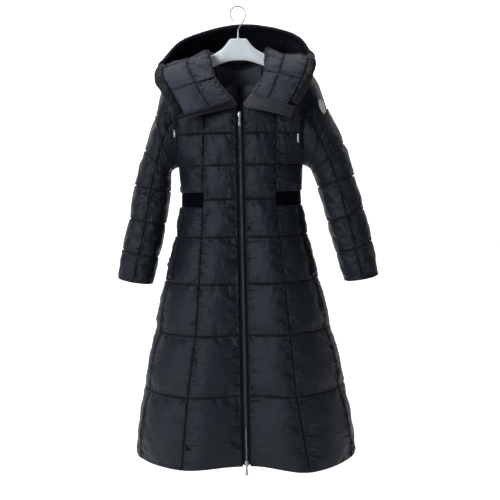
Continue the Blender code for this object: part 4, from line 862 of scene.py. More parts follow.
def panel_piece(panel, material, slot, node, inner=None, step=8, puckered=(0.0027, 0.0009)):
    """The finished quilted piece, twice as fine as the cloth that was blown up."""
    full, flat, out = (
        refined(refined(grid.swapaxes(0, 1), panel.column_seams).swapaxes(0, 1), panel.row_seams)
        for grid in (panel.full, panel.flat, panel.out)
    )
    under = flat - out * CLOTH / 2 if inner is None else inner(flat, out)
    places = flat_places(full)
    rows, columns = (2 * np.array(seams) for seams in (panel.row_seams, panel.column_seams))
    seam = near_seams(places, rows, columns)
    away = -SEAM_FADE * np.log(seam)
    lip = LIP_HIGH * np.exp(-(((away - LIP_FROM_SEAM) / LIP_WIDE) ** 2))
    sunk = STITCH_SUNK * np.exp(-((away / STITCH_WIDE) ** 2))
    draw = np.random.default_rng(sum(map(ord, panel.name)))
    folds = puckers(places, rows, columns, *puckered, draw)
    stuffed = panel.rise[np.ix_(np.arange(len(full)) // 2, np.arange(full.shape[1]) // 2)]
    full = full + unit(out) * (stuffed * (lip + folds) - sunk)[..., None]
    made = close_shell(panel.name, drawn_in(full), drawn_in(under), material, places, seam, step)
    put_on(made, slot, node)


LEVEL_SEAMS = (0, 1, 2, 3, 4, 5, 6, 7, 8.5, 11)
CELL_HEIGHTS = (0.204, 0.172, 0.146, 0.134, 0.110, 0.100, 0.092, 0.125, 0.125)
PANEL_COUNT = 30  # columns of cloth in each body panel
POCKET_LOW, POCKET_LINE = 3.03, 0.66  # row where the pocket ends, and its share of the side panel


def seam_rows(low, high):
    """The seams of a panel between two rows, and how many lines of cloth each cell has."""
    seams = [low] + [s for s in LEVEL_SEAMS if low < s < high] + [high]
    counts = []
    for a, b in zip(seams, seams[1:]):
        cell = max(i for i, s in enumerate(LEVEL_SEAMS[:-1]) if s <= a + 1e-9)
        whole = LEVEL_SEAMS[cell + 1] - LEVEL_SEAMS[cell]
        counts.append(max(4, round(CELL_HEIGHTS[cell] * (b - a) / whole / CELL_LENGTH)))
    return seams, counts


def body_panel(name, side, start, end, low, high, middles=(0.0, 1.0)):
    seams, counts = seam_rows(low, high)
    rows, row_seams = spaced(seams, counts)
    cells = [round(PANEL_COUNT * (b - a)) for a, b in zip(middles, middles[1:])]
    shares, column_seams = spaced(middles, cells)
    places = np.clip(start + (end - start) * shares, start, end)
    out = body_normals(side, places, rows)
    by_side = np.clip(1 - np.abs(places - SIDE_BACK), 0, 1)[None, :]
    rubbed = np.exp(-(((rows - ARMPIT_ROW) / 0.5) ** 2))[:, None] * by_side**2
    rise = 1 - 0.9 * rubbed  # the down is pressed flat under the arm
    panel = Panel(name, body_points(side, places, rows), out, row_seams, column_seams, rise)
    if len(middles) > 2:  # the pocket: its line ends below, and no seam crosses behind it
        line = column_seams[1]
        panel.sewn[rows < POCKET_LOW, line] = False
        behind = np.arange(len(shares)) > line
        for row in row_seams[1:-1]:
            if rows[row] > POCKET_LOW:
                panel.sewn[row, behind] = False
                panel.sewn[row, -1] = True
    return panel, rows, shares


shell = cloth_finish(
    "down_nylon", (0.0056, 0.0070, 0.0110), (0.0090, 0.0113, 0.0168), 0.44, 0.0007, 0.10, 0.0007,
    specular=0.26, sheen=(0.03, 0.35),
)  # fmt: skip

body_parts = {}  # node: panel, its rows and its shares across
for side, hand in HANDS:
    for node, *bounds in (
        ("front_centre", FRONT, SEAM, 0, SHOULDER_ROW),
        ("front_side_upper", SEAM, SIDE_FRONT, BAND_TOP_ROW, SHOULDER_ROW),
        ("back_side_upper", SIDE_BACK, BACK_SEAM, BAND_TOP_ROW, SHOULDER_ROW),
        ("front_side_lower", SEAM, SIDE_FRONT, 0, BAND_BOTTOM_ROW, (0.0, POCKET_LINE, 1.0)),
        ("back_side_lower", SIDE_BACK, BACK_SEAM, 0, BAND_BOTTOM_ROW),
    ):
        body_parts[f"{node}_{hand}"] = body_panel(f"quilted_{node}_{hand}", side, *bounds)
(right_half, back_rows, back_shares), (left_half, _, _) = (
    body_panel("half of the back", side, BACK_SEAM, BACK, 0, SHOULDER_ROW) for side, _ in HANDS
)
whole = [
    np.concatenate([getattr(right_half, k)[:, :-1], getattr(left_half, k)[:, ::-1]], axis=1)
    for k in ("flat", "out")
]
whole[0][:, PANEL_COUNT, X] = whole[1][:, PANEL_COUNT, X] = 0
back_seams = (0, PANEL_COUNT, 2 * PANEL_COUNT)
back = Panel("quilted_back_centre", *whole, right_half.row_seams, back_seams)
body_parts["back_centre"] = (back, back_rows, back_shares)

blow_up([panel for panel, _, _ in body_parts.values()], 0.0085, 0.020, 21)
for node, (panel, _, _) in body_parts.items():
    panel_piece(panel, shell, "down_shell", node)

# ------------------------------------------------------------------ waist elastics
# Wide ribbed elastic let into each side at the waist. It is sewn in stretched, so it has drawn
# the nylon above and below it into small gathers.

ELASTIC_COUNT, ELASTIC_ROWS = 110, 24
ELASTIC_RIB, ELASTIC_RIB_HIGH = 0.0021, 0.00035
ELASTIC_LIFT, ELASTIC_WIDE = 0.0008, 0.041


def outside_area(grid):
    """The area of a grid of points, in square metres."""
    a, b, c, d = cell_corners(grid)
    halves = np.cross(b - a, c - a), np.cross(c - a, d - a)
    return float(sum(np.linalg.norm(half, axis=-1).sum() for half in halves) / 2)


def lay_sheet(piece, grid, held, slot, *nodes, rests_on=()):
    """Sets a sheet of cloth on the coat in place of its CAD nodes; its length along the grid is
    worked out and not kept.
    """
    across = float(np.linalg.norm(np.diff(grid, axis=1), axis=2).sum(axis=1).mean())
    put_on(piece, slot, *nodes)
    outside_area(grid) / across


def sewn_strip(name, outer, under, material, fade, room=0.0, step=8):
    """A closed strip of cloth between two grids, stitched down along its whole edge."""
    flat = flat_places(outer)
    rows, columns = outer.shape[:2]
    seam = near_seams(flat, [0, rows - 1], [0, columns - 1], fade)
    if room:
        outer, under = drawn_in(outer, room), drawn_in(under, room)
    return close_shell(name, outer, under, material, flat, seam, step)


elastic_cloth = cloth_finish(
    "ribbed_elastic", (0.0006, 0.0007, 0.0026), (0.0014, 0.0016, 0.0052), 0.85, 0.0011, 0.22,
    0.0002, specular=0.06,
)  # fmt: skip
for side, hand in HANDS:
    rows = np.linspace(BAND_BOTTOM_ROW, BAND_TOP_ROW, ELASTIC_ROWS)
    places = np.linspace(SEAM, BACK_SEAM, ELASTIC_COUNT)
    grid, out = body_points(side, places, rows), body_normals(side, places, rows)
    run = np.linspace(0, ELASTIC_WIDE, ELASTIC_ROWS)[:, None]
    swell = np.sin(np.linspace(0, math.pi, ELASTIC_ROWS))[:, None] ** 0.7
    rib = ELASTIC_RIB_HIGH * np.abs(np.sin(math.pi * run / ELASTIC_RIB))
    waves = 0.0005 * np.sin(places * 47 + side)[None, :] * swell
    lift = CLOTH / 2 + ELASTIC_LIFT * swell + rib + waves
    outer, under = grid + out * lift[..., None], grid - out * CLOTH / 2
    name = f"ribbed_waist_elastic_{hand}"
    made = sewn_strip(name, outer, under, elastic_cloth, 0.003, SEAM_ROOM)
    lay_sheet(made, outer, "stretched", "ribbed_elastic", f"waist_elastic_{hand}")

# ------------------------------------------------------------------ sleeves
# Each sleeve is two quilted panels, joined by a seam down its front and one down its back; its
# elastic cuff, turned up inside, is not made. The down has settled, and the front seam is puckered.

SLEEVE_COLUMNS = ("name", "inner_x", "inner_z", "outer_x", "outer_z", "half_depth")
SLEEVE_ROWS = {
    "left": (
        ("cap", 0.193, -0.4688, 0.221, -0.222, 0.091),
        ("upper", 0.203, -0.4745, 0.255, -0.303, 0.086),
        ("arm", 0.213, -0.4860, 0.304, -0.408, 0.073),
        ("elbow", 0.2340, -0.5320, 0.3325, -0.503, 0.061),
        ("fore", 0.2620, -0.6370, 0.3605, -0.604, 0.058),
        ("wrist", 0.2870, -0.7320, 0.3840, -0.698, 0.054),
        ("cuff", 0.3130, -0.8180, 0.4020, -0.803, 0.046),
    ),
    "right": (
        ("cap", 0.193, -0.4688, 0.217, -0.226, 0.090),
        ("upper", 0.202, -0.4745, 0.242, -0.312, 0.086),
        ("arm", 0.2095, -0.4860, 0.278, -0.416, 0.073),
        ("elbow", 0.2165, -0.5390, 0.3115, -0.519, 0.062),
        ("fore", 0.2340, -0.6350, 0.3300, -0.616, 0.058),
        ("wrist", 0.2570, -0.7320, 0.3540, -0.709, 0.054),
        ("cuff", 0.2790, -0.8150, 0.3710, -0.797, 0.047),
    ),
}
SLEEVE_SEAMS = (0, 2, 3, 4, 5, 6, 7)
SLEEVE_COUNTS = (24, 20, 18, 19, 17, 19)
SLEEVE_SPLIT = float(armhole_turn(np.array([7.75]))[0])  # turn of its front seam


def sleeve_points(hand, turns, rows):
    """The stitched surface of a sleeve: turn 0 is its inner side, 90 front, 180 outer, 270 back."""
    turn = np.radians(turns)
    rings = [armhole(turns)]
    for row in SLEEVE_ROWS[hand]:
        of = dict(zip(SLEEVE_COLUMNS, row))
        inner = np.array((of["inner_x"], 0, of["inner_z"]))
        outer = np.array((of["outer_x"], 0, of["outer_z"]))
        ring = (inner + outer) / 2 - np.cos(turn)[:, None] * (outer - inner) / 2
        ring[:, Y] -= np.sin(turn) * of["half_depth"]
        rings.append(ring)
    grid = through(np.array(rings), rows)
    if hand == "right":
        grid[..., X] *= -1
    return grid


def sleeve_normals(hand, turns, rows):
    low_row, high_row = np.maximum(rows - 0.02, 0), np.minimum(rows + 0.02, SLEEVE_SEAMS[-1])
    around = sleeve_points(hand, turns + 1.0, rows) - sleeve_points(hand, turns - 1.0, rows)
    down = sleeve_points(hand, turns, high_row) - sleeve_points(hand, turns, low_row)
    side = -1 if hand == "right" else 1
    normals = unit(np.cross(down, around)) * side
    normals[0] = armhole_normal(turns) * (side, 1, 1)
    return normals


sleeve_parts = {}
for _, hand in HANDS:
    for part, low, high, count in (
        ("under", -SLEEVE_SPLIT, SLEEVE_SPLIT, 34),
        ("top", SLEEVE_SPLIT, 360 - SLEEVE_SPLIT, 36),
    ):  # fmt: skip
        rows, row_seams = spaced(SLEEVE_SEAMS, SLEEVE_COUNTS)
        turns = np.linspace(low, high, count + 1)
        under_arm = np.clip(np.cos(np.radians(turns)), 0, 1)[None, :]
        rise = 1 - under_arm * np.clip((4 - rows) / 1.5, 0, 1)[:, None]
        panel = Panel(
            f"quilted_sleeve_{part}_{hand}", sleeve_points(hand, turns, rows),
            sleeve_normals(hand, turns, rows), row_seams, (0, count), rise,
        )  # fmt: skip
        sleeve_parts[f"sleeve_{part}_{hand}"] = (panel, rows, turns)

blow_up([panel for panel, _, _ in sleeve_parts.values()], 0.0055, 0.015, 22)
for node, (panel, _, _) in sleeve_parts.items():
    panel_piece(panel, shell, "down_shell", node, puckered=(0.0030, 0.0012))

# ------------------------------------------------------------------ hood
# The hood is sewn into the neck. Its quilted sides are folded out over the shoulders with their
# grey lining up, and its back hangs behind as a bag.

HOOD_ROWS = (
    ("right zip edge", 0.03, (-0.013, -0.142, -0.303), (-0.066, -0.162, -0.315),
     (-0.122, -0.170, -0.328), (-0.174, -0.166, -0.340)),
    ("right chest", 0.12, (-0.051, -0.134, -0.262), (-0.096, -0.160, -0.281),
     (-0.144, -0.164, -0.297), (-0.188, -0.154, -0.312)),
    ("right collar", 0.24, (-0.074, -0.108, -0.220), (-0.120, -0.143, -0.236),
     (-0.168, -0.147, -0.250), (-0.2165, -0.132, -0.260)),
    ("right shoulder front", 0.42, (-0.088, -0.064, -0.160), (-0.140, -0.100, -0.186),
     (-0.190, -0.108, -0.210), (-0.239, -0.088, -0.220)),
    ("right shoulder", 0.58, (-0.098, -0.024, -0.129), (-0.150, -0.038, -0.156),
     (-0.203, -0.042, -0.178), (-0.241, -0.026, -0.183)),
    ("right shoulder back", 0.74, (-0.110, 0.066, -0.127), (-0.165, 0.100, -0.149),
     (-0.214, 0.082, -0.150), (-0.222, 0.012, -0.150)),
    ("right nape", 0.87, (-0.066, 0.110, -0.147), (-0.108, 0.190, -0.205),
     (-0.145, 0.170, -0.120), (-0.158, 0.042, -0.083)),
    ("nape", 1.0, (0.0, 0.114, -0.152), (0.0, 0.212, -0.232), (0.0, 0.226, -0.112),
     (0.005, 0.066, -0.040)),
    ("left nape", 0.87, (0.066, 0.110, -0.146), (0.108, 0.190, -0.205), (0.150, 0.170, -0.110),
     (0.161, 0.045, -0.072)),
    ("left shoulder back", 0.74, (0.104, 0.066, -0.129), (0.152, 0.098, -0.147),
     (0.200, 0.082, -0.138), (0.212, 0.012, -0.134)),
    ("left shoulder", 0.58, (0.090, -0.022, -0.122), (0.134, -0.038, -0.147),
     (0.182, -0.042, -0.155), (0.224, -0.024, -0.160)),
    ("left shoulder front", 0.42, (0.082, -0.064, -0.156), (0.122, -0.102, -0.177),
     (0.168, -0.112, -0.192), (0.215, -0.092, -0.202)),
    ("left collar", 0.24, (0.075, -0.106, -0.214), (0.108, -0.144, -0.226),
     (0.150, -0.150, -0.240), (0.194, -0.132, -0.248)),
    ("left chest", 0.12, (0.055, -0.134, -0.263), (0.086, -0.160, -0.278),
     (0.124, -0.165, -0.290), (0.164, -0.152, -0.300)),
    ("left zip edge", 0.03, (0.017, -0.142, -0.304), (0.058, -0.162, -0.314),
     (0.102, -0.169, -0.325), (0.145, -0.166, -0.337)),
)  # fmt: skip
NECK_OUTSIDE = (  # how far round the neck, then the direction out of the body's cloth there
    (0.0, 0.10, -0.98, 0.15), (0.3, 0.35, -0.80, 0.45), (0.5, 0.42, -0.30, 0.86),
    (0.6, 0.40, 0.05, 0.91), (0.8, 0.25, 0.60, 0.75), (1.0, 0.0, 0.85, 0.53),
)  # fmt: skip
NECK_FRONT = 0.6  # how far round the neck the shoulder is
RIM_STEP = 5  # steps run from 0 at the neck seam to 5 at the rim
STAND, STAND_IN = 0.011, 0.0045  # the hood's first fold, above and inside the neck seam
SEAM_CORNER = 0.0014
SIDE_SPLIT = 4.6  # the section where each side is sewn to the hood's back
LAST_SECTION = len(HOOD_ROWS) - 1
BAND_SECTION = {"right": 0.34, "left": 0.8}  # width of each stitched zip facing, in sections
CASING_START = 0.14
CASING_HALF_WIDTH, CASING_HALF_THICK = 0.0125, 0.0065
CASING_ROOM = CASING_HALF_WIDTH + 0.0012
HOOD_SEAMS = (0, 0.40, 0.54, 0.68, 0.83, 1)
LAPEL_SEAMS = (0, 0.40, 0.68, 1)
PLAIN_SHARE = 0.20  # share of each section, from the neck, that has no down in it
HANGER_MIDDLE = (0, 0, -0.12)
NECK_SAMPLES, RIM_SAMPLES = 281, 400


def hood_neck():
    """The hood's seam and stand along the neckline, at closely spaced sections."""
    round_neck = np.linspace(0, 1, 401)
    in_front = round_neck <= NECK_FRONT
    rows = NECK_ROW + (SHOULDER_ROW - NECK_ROW) * round_neck[in_front] / NECK_FRONT
    behind = round_neck[~in_front] - NECK_FRONT
    behind = NECK_POINT + BACK_NECK_SHARE * behind / (1 - NECK_FRONT)
    lines = {
        side: np.concatenate([
            body_points(side, np.array([0.0]), rows)[:, 0],
            body_points(side, behind, np.array([float(SHOULDER_ROW)]))[0],
        ])
        for side in (-1, 1)
    }  # fmt: skip
    places = np.linspace(0, LAST_SECTION, NECK_SAMPLES)
    table = np.array(NECK_OUTSIDE)
    wanted = np.interp(places, np.arange(LAST_SECTION + 1), [row[1] for row in HOOD_ROWS])
    neck = []
    for place, at in zip(places, wanted):
        side = -1 if place < LAST_SECTION / 2 else 1
        here, before, after = (
            on_line(spot, round_neck, lines[side])
            for spot in (at, max(at - 0.01, 0), min(at + 0.01, 1))
        )
        outside = unit(on_line(at, table[:, 0], table[:, 1:]) * (side, 1, 1))
        inward = unit(np.cross(outside, after - before))
        if np.dot(inward, np.array(HANGER_MIDDLE) - here) < 0:
            inward = -inward
        seam = here + inward * (CLOTH / 2 + SEAM_CORNER)
        neck.append((seam, here + inward * STAND_IN + outside * STAND))
    return places, np.array(neck)


NECK_PLACES, NECK_POINTS = hood_neck()
HOOD_TABLE = np.array([row[2:] for row in HOOD_ROWS], float)
WING_TOPS, WING_DROP = (3.9, 10.1), 0.009  # where the lapels' folds have sunk, and how far


def hood_at(sections, steps):
    """Points of the hood's middle surface: for each section, its own list of steps."""
    neck = [on_line(sections, NECK_PLACES, NECK_POINTS[:, k]) for k in range(2)]
    points = np.concatenate([np.stack(neck, axis=1), through(HOOD_TABLE, sections)], axis=1)
    line = np.arange(len(sections))[:, None]
    points = smooth(lambda at: points[line, at], steps, RIM_STEP)
    over_roll = np.exp(-(((steps - 2.3) / 0.8) ** 2))
    beside = sum(np.exp(-(((sections - place) / 1.3) ** 2)) for place in WING_TOPS)
    points[..., Z] -= WING_DROP * over_roll * beside[:, None]
    return points


def hood_out(sections, steps):
    """Directions out of the lining side of the hood."""
    low_section = np.maximum(sections - 0.02, 0)
    high_section = np.minimum(sections + 0.02, LAST_SECTION)
    low_step, high_step = np.maximum(steps - 0.02, 0), np.minimum(steps + 0.02, RIM_STEP)
    around = hood_at(high_section, steps) - hood_at(low_section, steps)
    outward = hood_at(sections, high_step) - hood_at(sections, low_step)
    return unit(np.cross(around, outward))


def steps_from_rim(sections, distance):
    """The step on each section at a distance in from the rim's outer edge."""
    fine = np.linspace(RIM_STEP - 1, RIM_STEP, 41)
    curves = hood_at(sections, np.tile(fine, (len(sections), 1)))
    run = np.linalg.norm(np.diff(curves, axis=1), axis=2)
    left = np.concatenate([np.zeros((len(sections), 1)), np.cumsum(run[:, ::-1], axis=1)], axis=1)
    return np.array([np.interp(distance, row, fine[::-1]) for row in left])


rim_sections = np.linspace(0, LAST_SECTION, RIM_SAMPLES)
CASING_LINE = hood_at(rim_sections, steps_from_rim(rim_sections, CASING_HALF_WIDTH)[:, None])[:, 0]


def steps_at_casing(sections):
    """The step where each section meets the casing's inner edge."""
    fine = np.linspace(RIM_STEP - 1.2, RIM_STEP, 61)
    curves = hood_at(sections, np.tile(fine, (len(sections), 1)))
    steps = []
    for curve in curves:
        away = np.linalg.norm(curve[:, None] - CASING_LINE[None], axis=2).min(axis=1)
        nearest = away.argmin() + 1
        steps.append(np.interp(CASING_ROOM, away[:nearest][::-1], fine[:nearest][::-1]))
    return np.array(steps)


def hood_panel(name, start, end, seams_across, counts_across, seams, counts, lining_out):
    """A quilted hood piece between two sections, with its lining or its shell swelling out."""
    shares_across, row_seams = spaced(seams_across, counts_across)
    sections = start + (end - start) * shares_across
    shares, column_seams = spaced(seams, counts)
    steps = shares[None, :] * steps_at_casing(sections)[:, None]
    out = hood_out(sections, steps)
    evened = unit(out[:-2] + out[1:-1] + out[2:])
    out[1:-1, shares < PLAIN_SHARE] = evened[:, shares < PLAIN_SHARE]
    rise = np.clip((shares - PLAIN_SHARE) / PLAIN_SHARE, 0, 1)[None, :]
    flip = 1 if lining_out else -1
    return Panel(name, hood_at(sections, steps), out * flip, row_seams, column_seams, rise)


lining_cloth = cloth_finish(
    "hood_lining", (0.030, 0.031, 0.041), (0.056, 0.057, 0.076), 0.60, 0.0006, 0.09, 0.0012,
    specular=0.16,
)  # fmt: skip
hood_parts = {}
for hand, edge, split, inward in (
    ("right", 0, SIDE_SPLIT, 1), ("left", LAST_SECTION, LAST_SECTION - SIDE_SPLIT, -1),
):  # fmt: skip
    hood_parts[f"hood_side_{hand}"] = hood_panel(
        f"quilted_hood_side_{hand}", edge + inward * BAND_SECTION[hand], split,
        (0, 0.39, 0.86, 1), (18, 20, 8), LAPEL_SEAMS, (14, 14, 14), True,
    )  # fmt: skip
hood_parts["hood_back"] = hood_panel(
    "quilted_hood_back", SIDE_SPLIT, LAST_SECTION - SIDE_SPLIT, (0, 0.2, 0.5, 0.8, 1),
    (18, 26, 26, 18), HOOD_SEAMS, (20, 11, 11, 11, 11), False,
)
blow_up(list(hood_parts.values()), 0.0045, 0.0095, 23)
hood_back_seams = [
    [2 * s for s in seams]
    for seams in (hood_parts["hood_back"].row_seams, hood_parts["hood_back"].column_seams)
]


def lined(flat, out):
    """The lining inside the hood's back, which swells a little less than the shell."""
    high = np.zeros(flat.shape[:2])
    rows, columns = hood_back_seams
    for a, b in zip(rows, rows[1:]):
        for c, d in zip(columns, columns[1:]):
            cell = np.ix_(np.arange(a, b + 1), np.arange(c, d + 1))
            across, along = np.linspace(0, 1, b - a + 1), np.linspace(0, 1, d - c + 1)
            high[cell] = pillow(across)[:, None] * pillow(along)[None, :]
    high[:, : columns[1] // 2] = 0
    r, c = np.indices(high.shape)
    wave = np.sin(r * 0.9 + 2.1 * np.sin(c * 0.21)) * np.sin(c * 0.37 + 1.3 * np.sin(r * 0.13))
    return flat - out * (CLOTH / 2 + (0.0065 + 0.0008 * wave) * high)[..., None]


for node, panel in hood_parts.items():
    if node == "hood_back":
        panel_piece(panel, shell, "down_shell", node, lined, step=1)
    else:
        panel_piece(panel, lining_cloth, "lining", node, puckered=(0.0026, 0.0014))

# ------------------------------------------------------------------ casing of the hood's rim
# A nylon tunnel along the rim, gathered tight on the elastic drawcord. Its gathers are pushed
# together unevenly, and it ends in a plain tab at each lapel's corner.

CASING_RINGS, CASING_SIDES = 2400, 18
CASING_GATHER, CASING_RIDGE = 0.0080, 0.0048  # from one gather to the next, and their height


def casing_path(count):
    """Evenly spaced points along the casing's middle, with its two directions across."""
    start = BAND_SECTION["right"] + CASING_START
    end = LAST_SECTION - BAND_SECTION["left"] - CASING_START
    fine = np.linspace(start, end, RIM_SAMPLES)
    curve = on_line(fine, rim_sections, CASING_LINE)
    length = run_along(curve)
    even = np.linspace(0, length[-1], count)
    path = on_line(even, length, curve)
    sections = np.interp(even, length, fine)
    normal = hood_out(sections, np.full((count, 1), RIM_STEP - 0.15))[:, 0]
    tangent = unit(np.gradient(path, axis=0))
    outward = unit(np.cross(normal, tangent))
    return path, outward, unit(np.cross(tangent, outward)), even


def eased(values, width):
    """A running mean over a list of directions or numbers, with its ends held."""
    padded = np.concatenate([values[:1].repeat(width, 0), values, values[-1:].repeat(width, 0)])
    total = np.cumsum(padded, axis=0)
    return (total[2 * width:] - total[:-2 * width]) / (2 * width)


path, outward, normal, run = casing_path(CASING_RINGS)
path, outward, normal = eased(path, 30), unit(eased(outward, 30)), unit(eased(normal, 30))
draw = np.random.default_rng(31)
turn = circle(CASING_SIDES)
pitch_drift = np.cumsum(draw.normal(0, 0.045, CASING_RINGS))
lean = eased(draw.normal(0, 6.0, CASING_RINGS), 60)
phase = 2 * math.pi * run / CASING_GATHER + pitch_drift
phase = phase[:, None] + (1.1 + lean)[:, None] * np.sin(turn) + 0.5 * np.sin(2 * turn + 0.7)
strength = 0.75 + 0.5 * np.clip(eased(draw.normal(0, 5.0, CASING_RINGS), 40), -1, 1)[:, None]
ridge = (np.abs(np.sin(phase / 2)) ** 0.7 - 0.55) * CASING_RIDGE * strength
small = 0.0004 * np.sin(phase * 2.3 + 1.7 * np.sin(turn * 3))
ends = np.clip(np.minimum(run, run[-1] - run) / 0.008, 0, 1) ** 0.5
size = (0.35 + 0.65 * ends)[:, None, None]
across = np.cos(turn)[None, :, None] * outward[:, None] * CASING_HALF_WIDTH
along = np.sin(turn)[None, :, None] * normal[:, None] * CASING_HALF_THICK
body = (across + along) * size
rings = path[:, None] + body + unit(body) * (ridge + small)[..., None] * size
gathered_cloth = cloth_finish(
    "gathered_rim", (0.0030, 0.0034, 0.0052), (0.0100, 0.0108, 0.0146), 0.46, 0.0006, 0.09, 0.0008,
    specular=0.24, sheen=(0.02, 0.4),
)  # fmt: skip
casing = tube("gathered_hood_casing", rings, gathered_cloth, sharp=75)
lay_sheet(casing, rings[:, : CASING_SIDES // 2 + 1], "gathered", "casing", "hood_casing")

# ------------------------------------------------------------------ zip facings
# Along the lower edge of each lapel the open front zip runs on. A flat facing of lining cloth is
# stitched behind it in close rows, edged with a fine piping.

FACING_ACROSS, FACING_ALONG = 58, 120
FACING_GROOVES = {"right": 2, "left": 7}  # stitched rows across each facing
FACING_ROOM = 0.0003
FACING_SUNK, FACING_HIGH, FACING_FOLD = 0.0006, 0.0016, 0.0007
PIPING_RADIUS, TAPE_ON_FACING = 0.0013, 0.0010

facing_cloth = cloth_finish(
    "facing_cloth", (0.013, 0.013, 0.017), (0.030, 0.030, 0.039), 0.42, 0.0006, 0.10, 0.0004,
    specular=0.4, sheen=(0.05, 0.4),
)  # fmt: skip
tape_cloth = cloth_finish(
    "zip_tape", (0.0030, 0.0030, 0.0038), (0.0085, 0.0085, 0.0100), 0.80, 0.0008, 0.25, 0.0002,
    specular=0.25,
)  # fmt: skip
facing_grids = {}
for hand, edge, inward in (("right", 0, 1), ("left", LAST_SECTION, -1)):
    band = edge + inward * BAND_SECTION[hand]
    share_in = np.linspace(0, 1, FACING_ACROSS)
    sections = band + (edge - band) * share_in
    stops, rims = steps_at_casing(sections), steps_from_rim(sections, 0.001)
    first = 0.3 * stops
    steps = first[:, None] + (rims - first)[:, None] * np.linspace(0, 1, FACING_ALONG)[None, :]
    grid, out = hood_at(sections, steps), hood_out(sections, steps)
    run = np.linspace(0, 1, FACING_ALONG)[None, :]
    grooves = FACING_GROOVES[hand]
    between = np.abs(np.sin(share_in * math.pi * grooves))[:, None]
    drift = 2.2 * np.sin(share_in * 9 + 1)[:, None] + run * 3 * np.sin(share_in * 23)[:, None]
    small_folds = np.sin(run * 88 + drift) * np.sin(run * 37 + drift * 2) * between
    lift = CLOTH / 2 - FACING_SUNK + FACING_HIGH * between**0.6 + FACING_FOLD * small_folds
    outer, under = grid + out * lift[..., None], grid - out * CLOTH / 2
    name = f"stitched_zip_facing_{hand}"
    made = sewn_strip(name, outer, under, facing_cloth, 0.002, FACING_ROOM)
    lay_sheet(made, outer, "laid", "facing", f"zip_facing_{hand}")
    facing_grids[hand] = (outer, out)
    if hand == "right":
        inside = slice(round(0.08 * FACING_ACROSS), round(0.94 * FACING_ACROSS))
        strip, strip_out = outer[inside], out[inside]
        level = eased(strip + strip_out * 0.0014, 3)
        under = level - strip_out * TAPE_ON_FACING
        tape = sewn_strip("woven_tape_on_facing", level, under, tape_cloth, 0.001)
        lay_sheet(tape, level, "laid", "zip_tape", rests_on=[made.name])
    for place, row, lift in (("upper", 1, 0.0006), ("lower", -1, 0.0004)):
        line = eased(outer[row] + out[row] * lift, 2)
        ahead = unit(np.gradient(line, axis=0))
        side_way = unit(np.cross(ahead, out[0]))
        deep_way = unit(np.cross(ahead, side_way))
        rings = oval_rings(line, side_way, deep_way, PIPING_RADIUS, PIPING_RADIUS, 8)
        put_on(tube(f"facing_piping_{place}_{hand}", rings, facing_cloth), "facing")

# ------------------------------------------------------------------ neck lining
# What shows of the lining inside the back neck: a plain yoke with a seam down its middle, and
# below it two round lobes filled with down.

LINING_TOP, LINING_FOOT, LINING_REACH = 10.4, 7.05, 0.52
LINING_GAP, LINING_PUFF = 0.0020, 0.020
LOBE_TOP, AT_NECK = 9.22, 9.3  # rows
LINING_ROWS, LINING_COLUMNS = 84, 101

rows = np.linspace(LINING_FOOT, LINING_TOP, LINING_ROWS)
columns = np.linspace(-LINING_REACH, LINING_REACH, LINING_COLUMNS)
half = BACK - np.abs(columns[LINING_COLUMNS // 2:])
seat, out = (
    [form(side, half, rows) for side in (-1, 1)] for form in (body_points, body_normals)
)
seat, out = (np.concatenate([pair[0][:, :0:-1], pair[1]], axis=1) for pair in (seat, out))
middle = LINING_COLUMNS // 2
seat[:, middle, X] = out[:, middle, X] = 0
share = np.abs(columns) / LINING_REACH
drop = np.clip((LOBE_TOP - rows) / 1.5, 0, 1)
crown = np.clip(1 - (2 * share - 1) ** 2, 0, 1)
lobe = np.clip(crown[None, :] - (1 - np.minimum(drop * 2.2, 1))[:, None] ** 2, 0, 1) ** 0.5
lobe = lobe * np.clip((rows - LINING_FOOT) / 0.3, 0, 1)[:, None]
at_neck = np.clip((rows - AT_NECK)[:, None], 0, 1) * share[None, :] ** 2
r, c = np.meshgrid(rows, columns, indexing="ij")
creases = np.sin(c * 60 + 4 * np.sin(r * 3)) * np.sin(r * 9 + 2 * np.sin(c * 14))
rays = np.sin(np.arctan2(r - 7.6, np.abs(c) - 0.26) * 17)
edge_share = np.clip(lobe * (1.15 - lobe) * 2.2, 0, 1)
waves = 0.0007 * creases * lobe + 0.0009 * rays * edge_share
centre_seam = -0.0011 * np.exp(-((columns / 0.012) ** 2))[None, :] * (1 - lobe)
yoke_waves = 0.0006 * np.sin(r * 4.1 + 6 * c) * np.sin(c * 11 + 1.2) * (1 - lobe)
behind = seat - out * (CLOTH / 2 + LINING_GAP * (1 + 1.5 * at_neck))[..., None]
lift = 0.0018 + LINING_PUFF * lobe + waves + centre_seam + yoke_waves
outer = behind - out * lift[..., None]
# The lobes' light high colour and the lightening added to the whole cloth are painted light, where
# the lobes bulge out into the light.
yoke_cloth = cloth_finish(
    "neck_lining", (0.014, 0.016, 0.021), (0.160, 0.160, 0.210), 0.40, 0.0006, 0.09, 0.0010,
    sheen=(0.10, 0.35), painted_light=0.25,
)  # fmt: skip
flat = flat_places(outer)
seam = near_seams(flat, [0, LINING_ROWS - 1], [0, middle, LINING_COLUMNS - 1], 0.003)
# Painted shade: the yoke round the lobes, in the shadow of the hood's sides, is given a high seam
# value, so that it is darkened like a fold.
seam = np.maximum(seam, 0.80 * (1 - np.clip(lobe * 2.2, 0, 1)))
lining = close_shell("padded_neck_lining", outer, behind, yoke_cloth, flat, seam)
put_on(lining, "lining", "neck_lining")

# ------------------------------------------------------------------ front zip
# A two-way metal zip from hem to neck: woven tapes sewn under the front edges, cast teeth
# clamped on their cords, and a slider with its own pull at each end.

